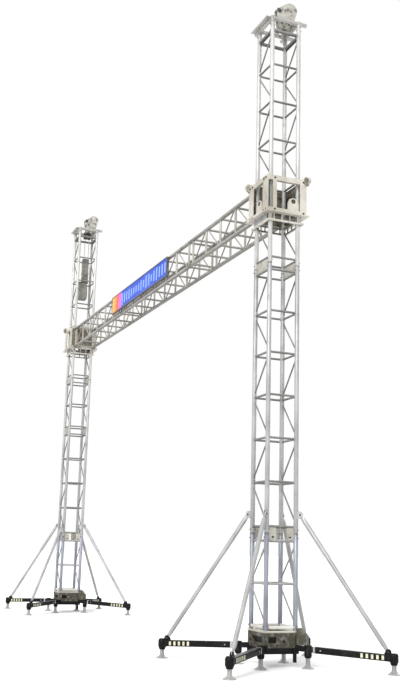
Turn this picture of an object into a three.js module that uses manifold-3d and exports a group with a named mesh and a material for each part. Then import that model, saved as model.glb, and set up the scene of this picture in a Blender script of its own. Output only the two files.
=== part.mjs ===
// Truss goal post: two square box-truss masts on braced outrigger bases, and a
// box-truss beam that hangs between two sleeve blocks, which ride on the masts.
// Millimetres. X runs along the beam, the sign is on the -Y side, +Z is up, and
// the origin is on the floor midway between the masts.
import * as THREE from 'three';
import { mergeVertices } from 'three/addons/utils/BufferGeometryUtils.js';
import Module from 'manifold-3d';

const wasm = await Module();
wasm.setup();

// Driving dimensions of the whole
const mastSpacing = 8500;
const mastFootHeight = 371;
const baseSectionLength = 1000;
const mastSectionLength = 3000;
const beamHeight = 5165;
const beamSectionLengths = [3000, 3000, 2000];

// Fits: faces that rest on each other stay this far apart
const seatGap = 0.3;
const runningGap = 1.5;
const cutOverrun = 5;

// Truss, shared by masts and beam
const chordSpacing = 350;
const chordWidth = 51;
const chordWall = 4;
const rungWidth = 20;
const footRungWidth = 34;
const diagonalWidth = 15;
const diagonalInset = 30;
const ringInset = 75;
const footRingInset = 33;
const nominalBay = 475;
const topRing = { width: 40, drop: 113, plateHeight: 43 };
const jointPlateThickness = 5;
const hingePlate = { thickness: 10, width: 112, hole: 30, holeShare: 0.65 };

// Strut lugs, above the joint between the mast's base and lower sections
const lug = { rise: 204, reach: 320, thickness: 8, depth: 84 };
const tongueThickness = 12;

// Base
const crossTube = { height: 60, top: 200, width: 60, wall: 6 };
const arm = { width: 56, tip: 620 };
const baseRail = { width: 50, height: 50, wall: 5 };
const basePlate = { thickness: 10, overhang: 8, panelHeight: 50, panelThickness: 5 };
const baseEye = { low: -60, high: 150, height: 120, thickness: 8, hole: 26 };
const faceBar = { width: 24, topDrop: 15, footX: -10 };
const cornerBox = { outer: 386, width: 80, top: 402, chamfer: 74 };
const dropLeg = { radius: 19, bottom: 56, top: 190, y: 150 };

// Jacks and their housings
const jack = {
  tubeRadius: 25, footRadius: 65, footLip: 8, neckRadius: 34, neckHeight: 27,
  collarRadius: 35, collarHeight: 12,
};
const baseHousing = { radius: 36, floor: 119, jackTop: 225, top: 235, reach: 388 };
const housingBoreClearance = 0.6;

// Outriggers, which fall towards their feet, and struts
const outrigger = { width: 66, wall: 6, rootHeight: 200, tipHeight: 158, root: 475, footReach: 1285 };
const endHousing = {
  radius: 46, neckRadius: 37, neckHeight: 20, shoulder: 190, crown: 208, crownRadius: 34,
  floor: 105, jackTop: 200,
};
const ear = { thickness: 8, length: 68, footGap: 27, top: 246 };
const strut = { width: 48, footInset: 55, footHeight: 216, headReach: 298, cut: 55, grip: 45 };
const tongueWidth = 40;

// Head
const head = {
  tubeWidth: 50, tubeRise: 48, endOverhang: 100, rearOverhang: 100, bearerWidth: 36,
  bearerFront: 20, bearerRear: 112,
};
const walkPlate = { end: 160, front: -250, rear: -185, low: 57, high: 69 };
const cheek = { thickness: 10, bottom: 23, gap: 54, spacerWidth: 14, hole: 20, holeRise: 104, edge: 12 };
const sheave = { radius: 66, grooveDepth: 12, width: 48, y: 135, rise: 302, axleWidth: 24 };
const idler = { width: 56, y: -15, rise: 265 };

// Sleeve block, measured from the beam's middle line
const sleeve = {
  outer: 250, inner: 207, bottomRailHigh: -158, topRailLow: 172, topRailHigh: 232,
  flangeThickness: 10, bottomFlange: 278,
};
const post = { thickness: 10, faceStart: 120, endFront: [-181, -132], endRear: [164, 250] };
const slidePadWidth = 30;
const web = { thickness: 5 };
const skirt = { low: -305, high: -285, width: 20, barWidth: 12, barCount: 4, barReachShare: 0.72 };
const skirtPanel = { thickness: 5, reach: 150, low: -280 };
const eye = { width: 145, height: 200, thickness: 10, x: -10, y: 90, holeRadius: 30, holeRise: 158, inset: 14 };
const wheel = { radius: 50, width: 34, edge: 5, axleWidth: 14, rise: 227 };
const fork = { thickness: 8, inner: 294, outer: 372, top: 247 };

// Sign
const sign = { length: 2640, height: 290, thickness: 40, centre: -115, rise: 25, bezel: 14, bezelDepth: 6 };

// Hoist in the left mast; its chain ends below the mast's top
const hook = {
  width: 140, depth: 62, y: 20, top: 44, cheekThickness: 8, cheekDrop: 128, idlerWidth: 30, wallGap: 4,
};
const chain = { radius: 7, fallSpacing: 80, drop: 529 };
const hoist = {
  width: 120, depth: 96, y: 10, height: 496.7, motorWidth: 124, motorLength: 150, motorHeight: 190,
};
const bag = { width: 200, depth: 150, y: -30, height: 352.7, wall: 6, rim: 12 };

// Section counts of round shapes
const chordSides = 8;
const rungSides = 6;
const diagonalSides = 4;
const jackSides = 8;
const wheelSides = 14;
const boreSides = 8;

// Places that follow from the sizes above
const halfChord = chordSpacing / 2;
const cornerReach = Math.hypot(halfChord, halfChord);
const chordFlat = chordWidth / 2;
const baseJoint = mastFootHeight + baseSectionLength;
const middleJoint = baseJoint + mastSectionLength;
const mastTop = middleJoint + mastSectionLength;
const lugHeight = baseJoint + lug.rise;
const earOuter = outrigger.footReach - ear.footGap;
const earInner = earOuter - ear.length;
const cornerNames = ['front_left', 'front_right', 'rear_right', 'rear_left'];
const corners = cornerNames.map((name) => [
  name.endsWith('right') ? 1 : -1,
  name.startsWith('rear') ? 1 : -1,
]);
const wheelCornerNames = ['front_left', 'rear_right'];
const crossBottom = crossTube.top - crossTube.height;
const sleeveFoot = -(halfChord + chordFlat + seatGap);
const wheelReach = Math.hypot(sleeve.outer, sleeve.outer);
const towers = [
  { side: 'left', x: -mastSpacing / 2, lowerRun: [mastSectionLength - baseSectionLength, baseSectionLength] },
  { side: 'right', x: mastSpacing / 2, lowerRun: [mastSectionLength] },
];
const diagonal = Math.SQRT1_2;
const chainFoot = mastTop - chain.drop;
const hoistTop = chainFoot - seatGap;
const hoistFoot = hoistTop - hoist.height;
const bagTop = hoistFoot - seatGap;
const bagFoot = bagTop - bag.height;

// Materials
function finish(color, roughness, metalness) {
  return new THREE.MeshStandardMaterial({ color, roughness, metalness });
}
const aluminium = finish('#d9d6cc', 0.42, 0.8);
const shadedAluminium = finish('#a3a7ad', 0.45, 0.8);
const blackSteel = finish('#17181a', 0.55, 0.2);
const galvanised = finish('#a9adae', 0.5, 0.75);
const paleRubber = finish('#d7d4c8', 0.6, 0.05);
const signFace = finish('#3f63d8', 0.35, 0.0);
const hoistPaint = finish('#2b2723', 0.5, 0.3);
const hoistGrey = finish('#8d8c82', 0.55, 0.3);
const chainSteel = finish('#8a8d90', 0.4, 0.9);

// Geometry to solid and back
function solidFrom(geometry) {
  const bare = geometry.clone();
  bare.deleteAttribute('normal');
  bare.deleteAttribute('uv');
  const merged = mergeVertices(bare);
  return new wasm.Manifold(new wasm.Mesh({
    numProp: 3,
    vertProperties: new Float32Array(merged.attributes.position.array),
    triVerts: new Uint32Array(merged.index.array),
  }));
}

function geometryFrom(solid) {
  const mesh = solid.getMesh();
  const geometry = new THREE.BufferGeometry();
  geometry.setAttribute('position', new THREE.BufferAttribute(new Float32Array(mesh.vertProperties), 3));
  geometry.setIndex(new THREE.BufferAttribute(new Uint32Array(mesh.triVerts), 1));
  const flat = geometry.toNonIndexed();
  flat.computeVertexNormals();
  return flat;
}

function unite(solids) {
  return solids.reduce((sum, solid) => sum.add(solid));
}

function cut(solid, tools) {
  return tools.reduce((rest, tool) => rest.subtract(tool), solid);
}

// A straight bar between two points, as wide as given across its flats, which
// lie upright and, where the count of sides is a multiple of four, level too
function bar(from, to, width, sides) {
  const start = new THREE.Vector3(...from);
  const axis = new THREE.Vector3(...to).sub(start);
  const length = axis.length();
  axis.normalize();
  const hint = Math.abs(axis.z) > diagonal ? new THREE.Vector3(1, 0, 0) : new THREE.Vector3(0, 0, 1);
  const across = new THREE.Vector3().crossVectors(axis, hint).normalize();
  const up = new THREE.Vector3().crossVectors(across, axis);
  const radius = width / 2 / Math.cos(Math.PI / sides);
  const geometry = new THREE.CylinderGeometry(radius, radius, length, sides);
  if (sides % 4 === 0) geometry.rotateY(Math.PI / sides);
  geometry.translate(0, length / 2, 0);
  geometry.applyMatrix4(new THREE.Matrix4().makeBasis(across, axis, up));
  geometry.translate(start.x, start.y, start.z);
  return solidFrom(geometry);
}

// A box between two opposite corners
function block(from, to) {
  const size = to.map((value, axis) => Math.abs(value - from[axis]));
  const geometry = new THREE.BoxGeometry(...size);
  geometry.translate(...to.map((value, axis) => (value + from[axis]) / 2));
  return solidFrom(geometry);
}

// A box in the vertical plane through a corner's diagonal: reach, side offset and height
function cornerBlock(corner, low, high) {
  const geometry = new THREE.BoxGeometry(high[0] - low[0], high[1] - low[1], high[2] - low[2]);
  geometry.translate((low[0] + high[0]) / 2, (low[1] + high[1]) / 2, (low[2] + high[2]) / 2);
  geometry.rotateZ(Math.atan2(corner[1], corner[0]));
  return solidFrom(geometry);
}

// A square ring, open in the middle
function squareRing(outer, inner, low, high) {
  const ring = block([-outer, -outer, low], [outer, outer, high]);
  return ring.subtract(block([-inner, -inner, low - cutOverrun], [inner, inner, high + cutOverrun]));
}

// A solid turned about the vertical from radius and height pairs
function turned(profile, sides) {
  const points = profile.map(([radius, height]) => new THREE.Vector2(radius, height));
  const geometry = new THREE.LatheGeometry(points, sides);
  geometry.rotateX(Math.PI / 2);
  return solidFrom(geometry);
}

// A flat plate cut from an outline in the Y-Z plane, standing across X
function plateAcrossX(outline, holes, low, high) {
  const shape = new THREE.Shape(outline.map(([y, z]) => new THREE.Vector2(y, z)));
  holes.forEach((hole) => shape.holes.push(hole));
  const geometry = new THREE.ExtrudeGeometry(shape, { depth: high - low, bevelEnabled: false });
  geometry.applyMatrix4(new THREE.Matrix4().set(0, 0, 1, low, 1, 0, 0, 0, 0, 1, 0, 0, 0, 0, 0, 1));
  return solidFrom(geometry);
}

// The same plate standing across Y, its outline in X and Z
function plateAcrossY(outline, holes, low, high) {
  const shape = new THREE.Shape(outline.map(([x, z]) => new THREE.Vector2(-x, z)));
  holes.forEach((hole) => shape.holes.push(hole));
  const geometry = new THREE.ExtrudeGeometry(shape, { depth: high - low, bevelEnabled: false });
  geometry.applyMatrix4(new THREE.Matrix4().set(-1, 0, 0, 0, 0, 0, 1, low, 0, 1, 0, 0, 0, 0, 0, 1));
  return solidFrom(geometry);
}

function roundHole(u, v, radius, sides) {
  const path = new THREE.Path();
  for (let i = 0; i < sides; i += 1) {
    const angle = (2 * Math.PI * i) / sides;
    const x = u + radius * Math.cos(angle);
    const y = v + radius * Math.sin(angle);
    if (i === 0) path.moveTo(x, y);
    else path.lineTo(x, y);
  }
  path.closePath();
  return path;
}

// Heights of a section's rings: one near each end, the rest evenly between them
function ringHeights(length, lowRing) {
  const bays = Math.round((length - 2 * ringInset) / nominalBay);
  const bay = (length - lowRing - ringInset) / bays;
  return Array.from({ length: bays + 1 }, (_, i) => lowRing + i * bay);
}

// Truss section standing on the origin: four hollow chords, a ring of rungs at
// every level, and zigzag diagonals on the front and rear faces of each bay
function trussSection({ length, levels, footRung = rungWidth, headRung = rungWidth, extras = [] }) {
  const top = length - seatGap;
  const boreWidth = chordWidth - 2 * chordWall;
  const at = (corner, z) => [corner[0] * halfChord, corner[1] * halfChord, z];
  const tubes = corners.map((corner) => bar(at(corner, 0), at(corner, top), chordWidth, chordSides));
  const bores = corners.map((corner) => (
    bar(at(corner, -cutOverrun), at(corner, length + cutOverrun), boreWidth, chordSides)
  ));
  const widths = levels.map(() => rungWidth);
  widths[0] = footRung;
  widths[levels.length - 1] = headRung;
  const rungs = levels.flatMap((z, level) => corners.map((corner, i) => (
    bar(at(corner, z), at(corners[(i + 1) % corners.length], z), widths[level], rungSides)
  )));
  const bays = levels.slice(1).map((high, i) => [levels[i], high]);
  const openBays = bays.filter(([low, high]) => high - low > nominalBay / 2);
  const braces = openBays.flatMap(([low, high], i) => [-1, 1].map((y) => {
    const side = i % 2 === 0 ? 1 : -1;
    const from = at([side, y], low + diagonalInset);
    return bar(from, at([-side, y], high - diagonalInset), diagonalWidth, diagonalSides);
  }));
  return cut(unite([...tubes, ...rungs, ...braces, ...extras]), bores);
}

// Plates that fill the front and rear faces between a ring and the joint plane
function jointPlates(low, high) {
  const reach = jointPlateThickness / 2;
  return [-halfChord, halfChord].map((y) => (
    block([-halfChord, y - reach, low], [halfChord, y + reach, high])
  ));
}

// Thicker plates on the end faces, one beside each chord
function endFacePlates(low, high) {
  const { thickness, width } = hingePlate;
  const inner = halfChord - width;
  return corners.map(([x, y]) => block(
    [x * halfChord - thickness / 2, y > 0 ? inner : -halfChord, low],
    [x * halfChord + thickness / 2, y > 0 ? halfChord : -inner, high],
  ));
}

// The same plates drilled for the hinge pins
function hingePlates(low, high) {
  const middle = (low + high) / 2;
  const pinY = halfChord - hingePlate.width * hingePlate.holeShare;
  const drill = bar([-chordSpacing, pinY, middle], [chordSpacing, pinY, middle], hingePlate.hole, boreSides);
  return endFacePlates(low, high).map((plate) => cut(plate, [drill, drill.mirror([0, 1, 0])]));
}

// Pairs of lugs that hold the strut heads, one pair at each chord's outer corner
function strutLugs(height) {
  const slot = tongueThickness / 2 + seatGap;
  return corners.flatMap((corner) => [-slot - lug.thickness, slot].map((offset) => cornerBlock(
    corner,
    [cornerReach, offset, height - lug.depth / 2],
    [lug.reach, offset + lug.thickness, height + lug.depth / 2],
  )));
}

function baseSection() {
  const low = baseSectionLength - ringInset;
  return trussSection({
    length: baseSectionLength,
    levels: ringHeights(baseSectionLength, footRingInset),
    footRung: footRungWidth,
    extras: hingePlates(low, baseSectionLength - seatGap),
  });
}

// The stretch between the base section and the middle joint, built from a run of
// lengths with a pair of rings at each joint inside it
function lowerSection(run) {
  const starts = run.map((_, i) => run.slice(0, i).reduce((sum, length) => sum + length, 0));
  const innerJoints = starts.slice(1);
  return trussSection({
    length: mastSectionLength,
    levels: run.flatMap((length, i) => ringHeights(length, ringInset).map((z) => starts[i] + z)),
    extras: [
      ...endFacePlates(0, ringInset),
      ...innerJoints.flatMap((z) => jointPlates(z - ringInset, z + ringInset)),
      ...jointPlates(mastSectionLength - ringInset, mastSectionLength - seatGap),
      ...strutLugs(lug.rise),
    ],
  });
}

// The top section ends in a thicker, lower ring with plates under it
function upperSection() {
  const topLevel = mastSectionLength - topRing.drop;
  return trussSection({
    length: mastSectionLength,
    levels: [...ringHeights(mastSectionLength, ringInset).slice(0, -1), topLevel],
    headRung: topRing.width,
    extras: [...jointPlates(0, ringInset), ...jointPlates(topLevel - topRing.plateHeight, topLevel)],
  });
}

// A beam section stands like a mast section here; its group lays it along X
function beamSection(length) {
  return trussSection({
    length,
    levels: ringHeights(length, ringInset),
  });
}

// Height of an outrigger's middle line at a given reach from the mast's axis
function armHeight(reach) {
  const share = (reach - cornerReach) / (outrigger.footReach - cornerReach);
  return outrigger.rootHeight + share * (outrigger.tipHeight - outrigger.rootHeight);
}

// A square bar on that line, along +X of its group
function armBar(from, to, width) {
  return bar([from, 0, armHeight(from)], [to, 0, armHeight(to)], width, diagonalSides);
}

// Black lower frame: a square of folded channel, four diagonal arms, and a jack
// housing on each arm
function baseCross() {
  const outer = halfChord + crossTube.width / 2;
  const inner = halfChord - crossTube.width / 2;
  const { top, wall } = crossTube;
  const ring = squareRing(outer, inner, crossBottom, top);
  const channel = squareRing(outer - wall, inner + wall, crossBottom - cutOverrun, top - wall);
  const frameReach = halfChord + baseRail.width / 2 + seatGap;
  const frameSpace = block([-frameReach, -frameReach, top], [frameReach, frameReach, mastFootHeight]);
  const arms = corners.map(([x, y]) => (
    armBar(cornerReach, arm.tip, arm.width).rotate([0, 0, THREE.MathUtils.radToDeg(Math.atan2(y, x))])
  ));
  const housingAt = ([x, y]) => [x * baseHousing.reach * diagonal, y * baseHousing.reach * diagonal];
  const housings = corners.map((corner) => {
    const [x, y] = housingAt(corner);
    return bar([x, y, baseHousing.floor], [x, y, baseHousing.top], 2 * baseHousing.radius, jackSides);
  });
  const bores = corners.map((corner) => {
    const [x, y] = housingAt(corner);
    return jackBore(baseHousing).translate([x, y, 0]);
  });
  const legX = outer + dropLeg.radius / 2;
  const legAt = (z) => [legX, dropLeg.y, z];
  const leg = bar(legAt(dropLeg.bottom), legAt(dropLeg.top), 2 * dropLeg.radius, chordSides);
  return cut(unite([cut(ring, [channel]), ...arms, ...housings, leg]), [frameSpace, ...bores]);
}

// The round space that a jack's tube slides in, open at the housing's floor
function jackBore({ floor, jackTop }) {
  const radius = jack.tubeRadius + housingBoreClearance;
  return turned([
    [0, floor - cutOverrun], [radius, floor - cutOverrun],
    [radius, jackTop + runningGap], [0, jackTop + runningGap],
  ], jackSides);
}

// Light frame between the cross and the mast's foot
function baseFrame() {
  const low = crossTube.top + seatGap;
  const top = mastFootHeight - seatGap;
  const outer = halfChord + baseRail.width / 2;
  const inner = halfChord - baseRail.width / 2;
  const { height, wall } = baseRail;
  const rail = cut(squareRing(outer, inner, low, low + height), [
    squareRing(outer - wall, inner + wall, low - cutOverrun, low + height - wall),
  ]);
  const posts = corners.map(([x, y]) => block([x * inner, y * inner, low], [x * outer, y * outer, top]));
  const { thickness, overhang, panelHeight, panelThickness } = basePlate;
  const plate = squareRing(outer + overhang, inner - overhang, top - thickness, top);
  const panelTop = top - thickness;
  const panels = squareRing(outer, outer - panelThickness, panelTop - panelHeight, panelTop);
  const eyeLow = low + height / 2;
  const eyeHigh = eyeLow + baseEye.height;
  const holeHeight = (eyeLow + low + height) / 2 + baseEye.hole;
  const eyePlate = plateAcrossX(
    [[baseEye.low, eyeLow], [baseEye.high, eyeLow], [baseEye.high, eyeHigh], [baseEye.low, eyeHigh]],
    [roundHole((baseEye.low + baseEye.high) / 3, holeHeight, baseEye.hole / 2, boreSides)],
    outer - baseEye.thickness,
    outer,
  );
  const faceY = -outer;
  const slant = bar(
    [-halfChord, faceY, top - faceBar.topDrop],
    [faceBar.footX, faceY, low + height / 2],
    faceBar.width,
    diagonalSides,
  );
  return unite([rail, ...posts, plate, panels, eyePlate, slant, cornerHousing(low)]);
}

// Light box over the outer rear jack
function cornerHousing(low) {
  const { outer, width, top, chamfer } = cornerBox;
  const inner = cornerReach + chordFlat + seatGap;
  const floor = Math.max(low, baseHousing.top + seatGap);
  const box = cornerBlock([1, 1], [inner, -width / 2, floor], [outer, width / 2, top]);
  const rise = Math.hypot(chamfer, chamfer);
  const wedge = new THREE.BoxGeometry(rise, width + cutOverrun, rise);
  wedge.rotateY(Math.PI / 4);
  wedge.translate(outer, 0, top);
  wedge.rotateZ(Math.PI / 4);
  return box.subtract(solidFrom(wedge));
}

// Screw jack with a dished foot, a tube, and the collar that stops it at its housing
function screwJack({ floor, jackTop }) {
  const { tubeRadius, footRadius, footLip, neckRadius, neckHeight } = jack;
  const collarTop = floor - seatGap;
  const collarLow = collarTop - jack.collarHeight;
  return turned([
    [0, 0], [footRadius, 0], [footRadius, footLip], [neckRadius, neckHeight], [tubeRadius, neckHeight],
    [tubeRadius, collarLow], [jack.collarRadius, collarLow], [jack.collarRadius, collarTop],
    [tubeRadius, collarTop], [tubeRadius, jackTop], [0, jackTop],
  ], jackSides);
}

// Outrigger along +X of its own group: a square tube that slides over the arm, a
// round end housing, and two ears for the strut
function outriggerArm() {
  const { width, wall, root, footReach } = outrigger;
  const tube = armBar(root, footReach, width);
  const hollow = armBar(root - cutOverrun, footReach - endHousing.radius - wall, arm.width + 2 * seatGap);
  const { radius, neckRadius, neckHeight, shoulder, crown, crownRadius, floor } = endHousing;
  const housing = turned([
    [0, floor], [neckRadius, floor], [radius, floor + neckHeight],
    [radius, shoulder], [crownRadius, crown], [0, crown],
  ], jackSides).translate([footReach, 0, 0]);
  const slot = tongueThickness / 2 + seatGap;
  const ears = [-slot - ear.thickness, slot].map((offset) => block(
    [earInner, offset, armHeight(earInner)],
    [earOuter, offset + ear.thickness, ear.top],
  ));
  return cut(unite([tube, housing, ...ears]), [hollow, jackBore(endHousing).translate([footReach, 0, 0])]);
}

// Strut from the outrigger's ears up to the chord's lugs, in the same plane
function braceStrut() {
  const foot = new THREE.Vector3(outrigger.footReach - strut.footInset, 0, strut.footHeight);
  const top = new THREE.Vector3(strut.headReach, 0, lugHeight);
  const along = top.clone().sub(foot).normalize();
  const place = (from, distance) => from.clone().addScaledVector(along, distance).toArray();
  const tube = bar(place(foot, strut.cut), place(top, -strut.cut), strut.width, rungSides);
  const tongue = (from, start, end) => {
    const length = end - start;
    const plate = new THREE.BoxGeometry(length, tongueThickness, tongueWidth);
    plate.translate(start + length / 2, 0, 0);
    plate.applyQuaternion(new THREE.Quaternion().setFromUnitVectors(new THREE.Vector3(1, 0, 0), along));
    plate.translate(from.x, from.y, from.z);
    return solidFrom(plate);
  };
  const reach = strut.cut + strut.grip;
  return unite([tube, tongue(foot, -tongueWidth / 4, reach), tongue(top, -reach, tongueWidth / 4)]);
}

// Head frame, from the mast's top up: chord stubs, crossed tubes, a flat plate along
// the front, bearers and the two cheeks that carry the sheave
function headFrame() {
  const half = head.tubeWidth / 2;
  const z = head.tubeRise;
  const tube = (from, to, width) => bar(from, to, width, rungSides);
  const stubs = corners.map(([x, y]) => (
    bar([x * halfChord, y * halfChord, 0], [x * halfChord, y * halfChord, z], chordWidth, chordSides)
  ));
  const along = [-halfChord, halfChord].map((y) => (
    tube([-halfChord - head.endOverhang, y, z], [halfChord + half, y, z], head.tubeWidth)
  ));
  const plate = block(
    [-halfChord - head.endOverhang, walkPlate.front, walkPlate.low],
    [walkPlate.end, walkPlate.rear, walkPlate.high],
  );
  const across = [-halfChord, halfChord].map((x) => (
    tube([x, -halfChord - half, z], [x, halfChord + head.rearOverhang, z], head.tubeWidth)
  ));
  const bearers = [head.bearerFront, head.bearerRear].map((y) => (
    block([-halfChord, y - head.bearerWidth / 2, z - half], [halfChord, y + head.bearerWidth / 2, z])
  ));
  const acrossCheeks = ({ y, rise }, reach, width) => (
    bar([-reach, y, rise], [reach, y, rise], width, chordSides)
  );
  const axle = acrossCheeks(sheave, cheek.gap / 2 + cheek.thickness, sheave.axleWidth);
  const idlerDrum = acrossCheeks(idler, cheek.gap / 2, idler.width);
  const spacerY = sheave.y + sheave.radius + cheek.spacerWidth / 2 + runningGap;
  const spacer = acrossCheeks({ y: spacerY, rise: sheave.rise }, cheek.gap / 2, cheek.spacerWidth);
  return unite([
    ...stubs, ...along, ...across, plate, ...bearers, ...sheaveCheeks(), axle, idlerDrum, spacer,
  ]);
}

// The cheeks lean to the rear and end in a round top about the sheave's axle
function sheaveCheeks() {
  const reach = sheave.radius + cheek.edge + cheek.spacerWidth;
  const arcShares = [0, 0.25, 0.5, 0.75];
  const arc = arcShares.map((share) => [
    sheave.y + reach * Math.cos(Math.PI * share),
    sheave.rise + reach * Math.sin(Math.PI * share),
  ]);
  const idlerReach = idler.width / 2 + cheek.edge;
  const outline = [
    [head.bearerFront - head.bearerWidth, cheek.bottom],
    [head.bearerRear + head.bearerWidth, cheek.bottom],
    ...arc,
    [idler.y, idler.rise + idlerReach],
    [idler.y - idlerReach, idler.rise],
  ];
  const holes = [head.bearerFront, head.bearerRear].map((y) => (
    roundHole(y, cheek.holeRise, cheek.hole / 2, boreSides)
  ));
  return [-cheek.gap / 2 - cheek.thickness, cheek.gap / 2].map((x) => (
    plateAcrossX(outline, holes, x, x + cheek.thickness)
  ));
}

// Radius of a wheel's bore that clears the corners of an axle with flats
function wheelBore(axleWidth) {
  const corner = axleWidth / 2 / Math.cos(Math.PI / chordSides);
  return (corner + seatGap) / Math.cos(Math.PI / wheelSides);
}

// Grooved wheel about X, centred on its own axle
function grooveWheel() {
  const { radius, grooveDepth, width } = sheave;
  const bore = wheelBore(sheave.axleWidth);
  const disc = turned([
    [bore, -width / 2], [radius, -width / 2], [radius - grooveDepth, 0],
    [radius, width / 2], [bore, width / 2], [bore, -width / 2],
  ], wheelSides);
  return disc.rotate([0, 90, 0]);
}

// Corner wheel about its own axle, which lies along Y of its group
function cornerWheel() {
  const { radius, width, edge } = wheel;
  const half = width / 2;
  const bore = wheelBore(wheel.axleWidth);
  const tyre = turned([
    [bore, -half], [radius - edge, -half], [radius, edge - half], [radius, half - edge],
    [radius - edge, half], [bore, half], [bore, -half],
  ], wheelSides);
  return tyre.rotate([90, 0, 0]);
}

// The two plates and the axle that hold a wheel at one corner
function wheelFork(corner) {
  const slot = wheel.width / 2 + runningGap;
  const plates = [-slot - fork.thickness, slot].map((offset) => cornerBlock(
    corner,
    [fork.inner, offset, sleeve.topRailLow],
    [fork.outer, offset + fork.thickness, fork.top],
  ));
  const side = slot + fork.thickness;
  const point = (offset) => [
    corner[0] * wheelReach * diagonal - corner[1] * offset * diagonal,
    corner[1] * wheelReach * diagonal + corner[0] * offset * diagonal,
    wheel.rise,
  ];
  return [...plates, bar(point(-side), point(side), wheel.axleWidth, chordSides)];
}

// Open space for a wheel in the top rail at one corner
function wheelSlot(corner) {
  const slot = wheel.width / 2 + runningGap;
  const clearance = wheel.radius + runningGap;
  return cornerBlock(
    corner,
    [wheelReach - clearance, -slot, wheel.rise - clearance],
    [fork.outer + cutOverrun, slot, sleeve.topRailHigh + cutOverrun],
  );
}

// Upright plates between the rails, two to a face
function sleevePosts() {
  const { outer, topRailHigh } = sleeve;
  const inner = outer - post.thickness;
  return [[-outer, -inner], [inner, outer]].flatMap(([near, far]) => [
    block([-outer, near, sleeveFoot], [-post.faceStart, far, topRailHigh]),
    block([post.faceStart, near, sleeveFoot], [outer, far, topRailHigh]),
    ...[post.endFront, post.endRear].map(([front, rear]) => (
      block([near, front, sleeveFoot], [far, rear, topRailHigh])
    )),
  ]);
}

// Web plates behind the posts: one closes the beam's side, the other the rear
function sleeveWebs(outerSide) {
  const { outer, topRailHigh } = sleeve;
  const far = outer - post.thickness;
  const near = far - web.thickness;
  const [low, high] = outerSide > 0 ? [-far, -near] : [near, far];
  return [
    block([low, -far, sleeveFoot], [high, far, topRailHigh]),
    block([-far, near, sleeveFoot], [far, far, topRailHigh]),
  ];
}

// Slide pads on the rails' inner faces, one to each outward flat of the chords
function slidePads() {
  const { inner, outer, bottomRailHigh, topRailLow, topRailHigh } = sleeve;
  const near = halfChord + chordFlat + seatGap;
  const far = (inner + outer) / 2;
  const start = halfChord - slidePadWidth / 2;
  const end = halfChord + slidePadWidth / 2;
  return [[sleeveFoot, bottomRailHigh], [topRailLow, topRailHigh]].flatMap(([low, high]) => (
    corners.flatMap(([x, y]) => [
      block([x * start, y * near, low], [x * end, y * far, high]),
      block([x * near, y * start, low], [x * far, y * end, high]),
    ])
  ));
}

// Light guide ring hung under the bottom flange on short bars
function sleeveSkirt() {
  const ring = squareRing(sleeve.inner + skirt.width, sleeve.inner, skirt.low, skirt.high);
  const half = skirt.barWidth / 2;
  const middle = sleeve.inner + skirt.width / 2;
  const bars = Array.from({ length: skirt.barCount }, (_, i) => {
    const share = (2 * i) / (skirt.barCount - 1) - 1;
    const at = share * skirt.barReachShare * sleeve.inner;
    return [-1, 1].flatMap((side) => [
      block([at - half, side * middle - half, skirt.low], [at + half, side * middle + half, sleeveFoot]),
      block([side * middle - half, at - half, skirt.low], [side * middle + half, at + half, sleeveFoot]),
    ]);
  }).flat();
  const panel = block(
    [-skirtPanel.reach, -middle - skirtPanel.thickness, skirtPanel.low],
    [skirtPanel.reach, -middle, sleeveFoot],
  );
  return [ring, ...bars, panel];
}

// Round-topped eye plates that stand on the bottom rail of a face
function eyeOutline(centre) {
  const half = eye.width / 2;
  const low = sleeveFoot;
  const springing = low + eye.height - half;
  const arcShares = [0, 0.25, 0.5, 0.75, 1];
  const arc = arcShares.map((share) => [
    centre + half * Math.cos(Math.PI * share),
    springing + half * Math.sin(Math.PI * share),
  ]);
  return [[centre - half, low], [centre + half, low], ...arc];
}

function eyePlates(outerSide) {
  const hole = (u) => roundHole(u, sleeveFoot + eye.holeRise, eye.holeRadius, boreSides);
  const inner = sleeve.inner + eye.inset;
  const outer = inner + eye.thickness;
  const [low, high] = outerSide > 0 ? [inner, outer] : [-outer, -inner];
  return [
    plateAcrossY(eyeOutline(eye.x), [hole(-eye.x)], -outer, -inner),
    plateAcrossY(eyeOutline(eye.x), [hole(-eye.x)], inner, outer),
    plateAcrossX(eyeOutline(eye.y), [hole(eye.y)], low, high),
  ];
}

// Sleeve block round the mast, measured from the beam's middle line
function sleeveBlock(outerSide) {
  const { outer, inner, bottomRailHigh, topRailLow, topRailHigh, bottomFlange, flangeThickness } = sleeve;
  const rails = [
    squareRing(outer, inner, sleeveFoot, bottomRailHigh),
    squareRing(outer, inner, topRailLow, topRailHigh),
    squareRing(bottomFlange, inner, sleeveFoot - flangeThickness, sleeveFoot),
    ...sleevePosts(),
    ...sleeveWebs(outerSide),
  ];
  const slotted = corners.filter((_, i) => wheelCornerNames.includes(cornerNames[i]));
  return unite([
    cut(unite(rails), slotted.map(wheelSlot)),
    ...slotted.flatMap(wheelFork),
    ...slidePads(),
    ...sleeveSkirt(),
    ...eyePlates(outerSide),
  ]);
}

// Sign box, with its back on the beam's front chords and a raised rim round the face
function signPanel() {
  const { length, height, thickness, bezel, bezelDepth } = sign;
  const back = -halfChord - chordFlat - seatGap;
  const front = back - thickness;
  const body = block([-length / 2, front, -height / 2], [length / 2, back, height / 2]);
  const face = block(
    [bezel - length / 2, front - cutOverrun, bezel - height / 2],
    [length / 2 - bezel, front + bezelDepth, height / 2 - bezel],
  );
  return body.subtract(face);
}

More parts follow.
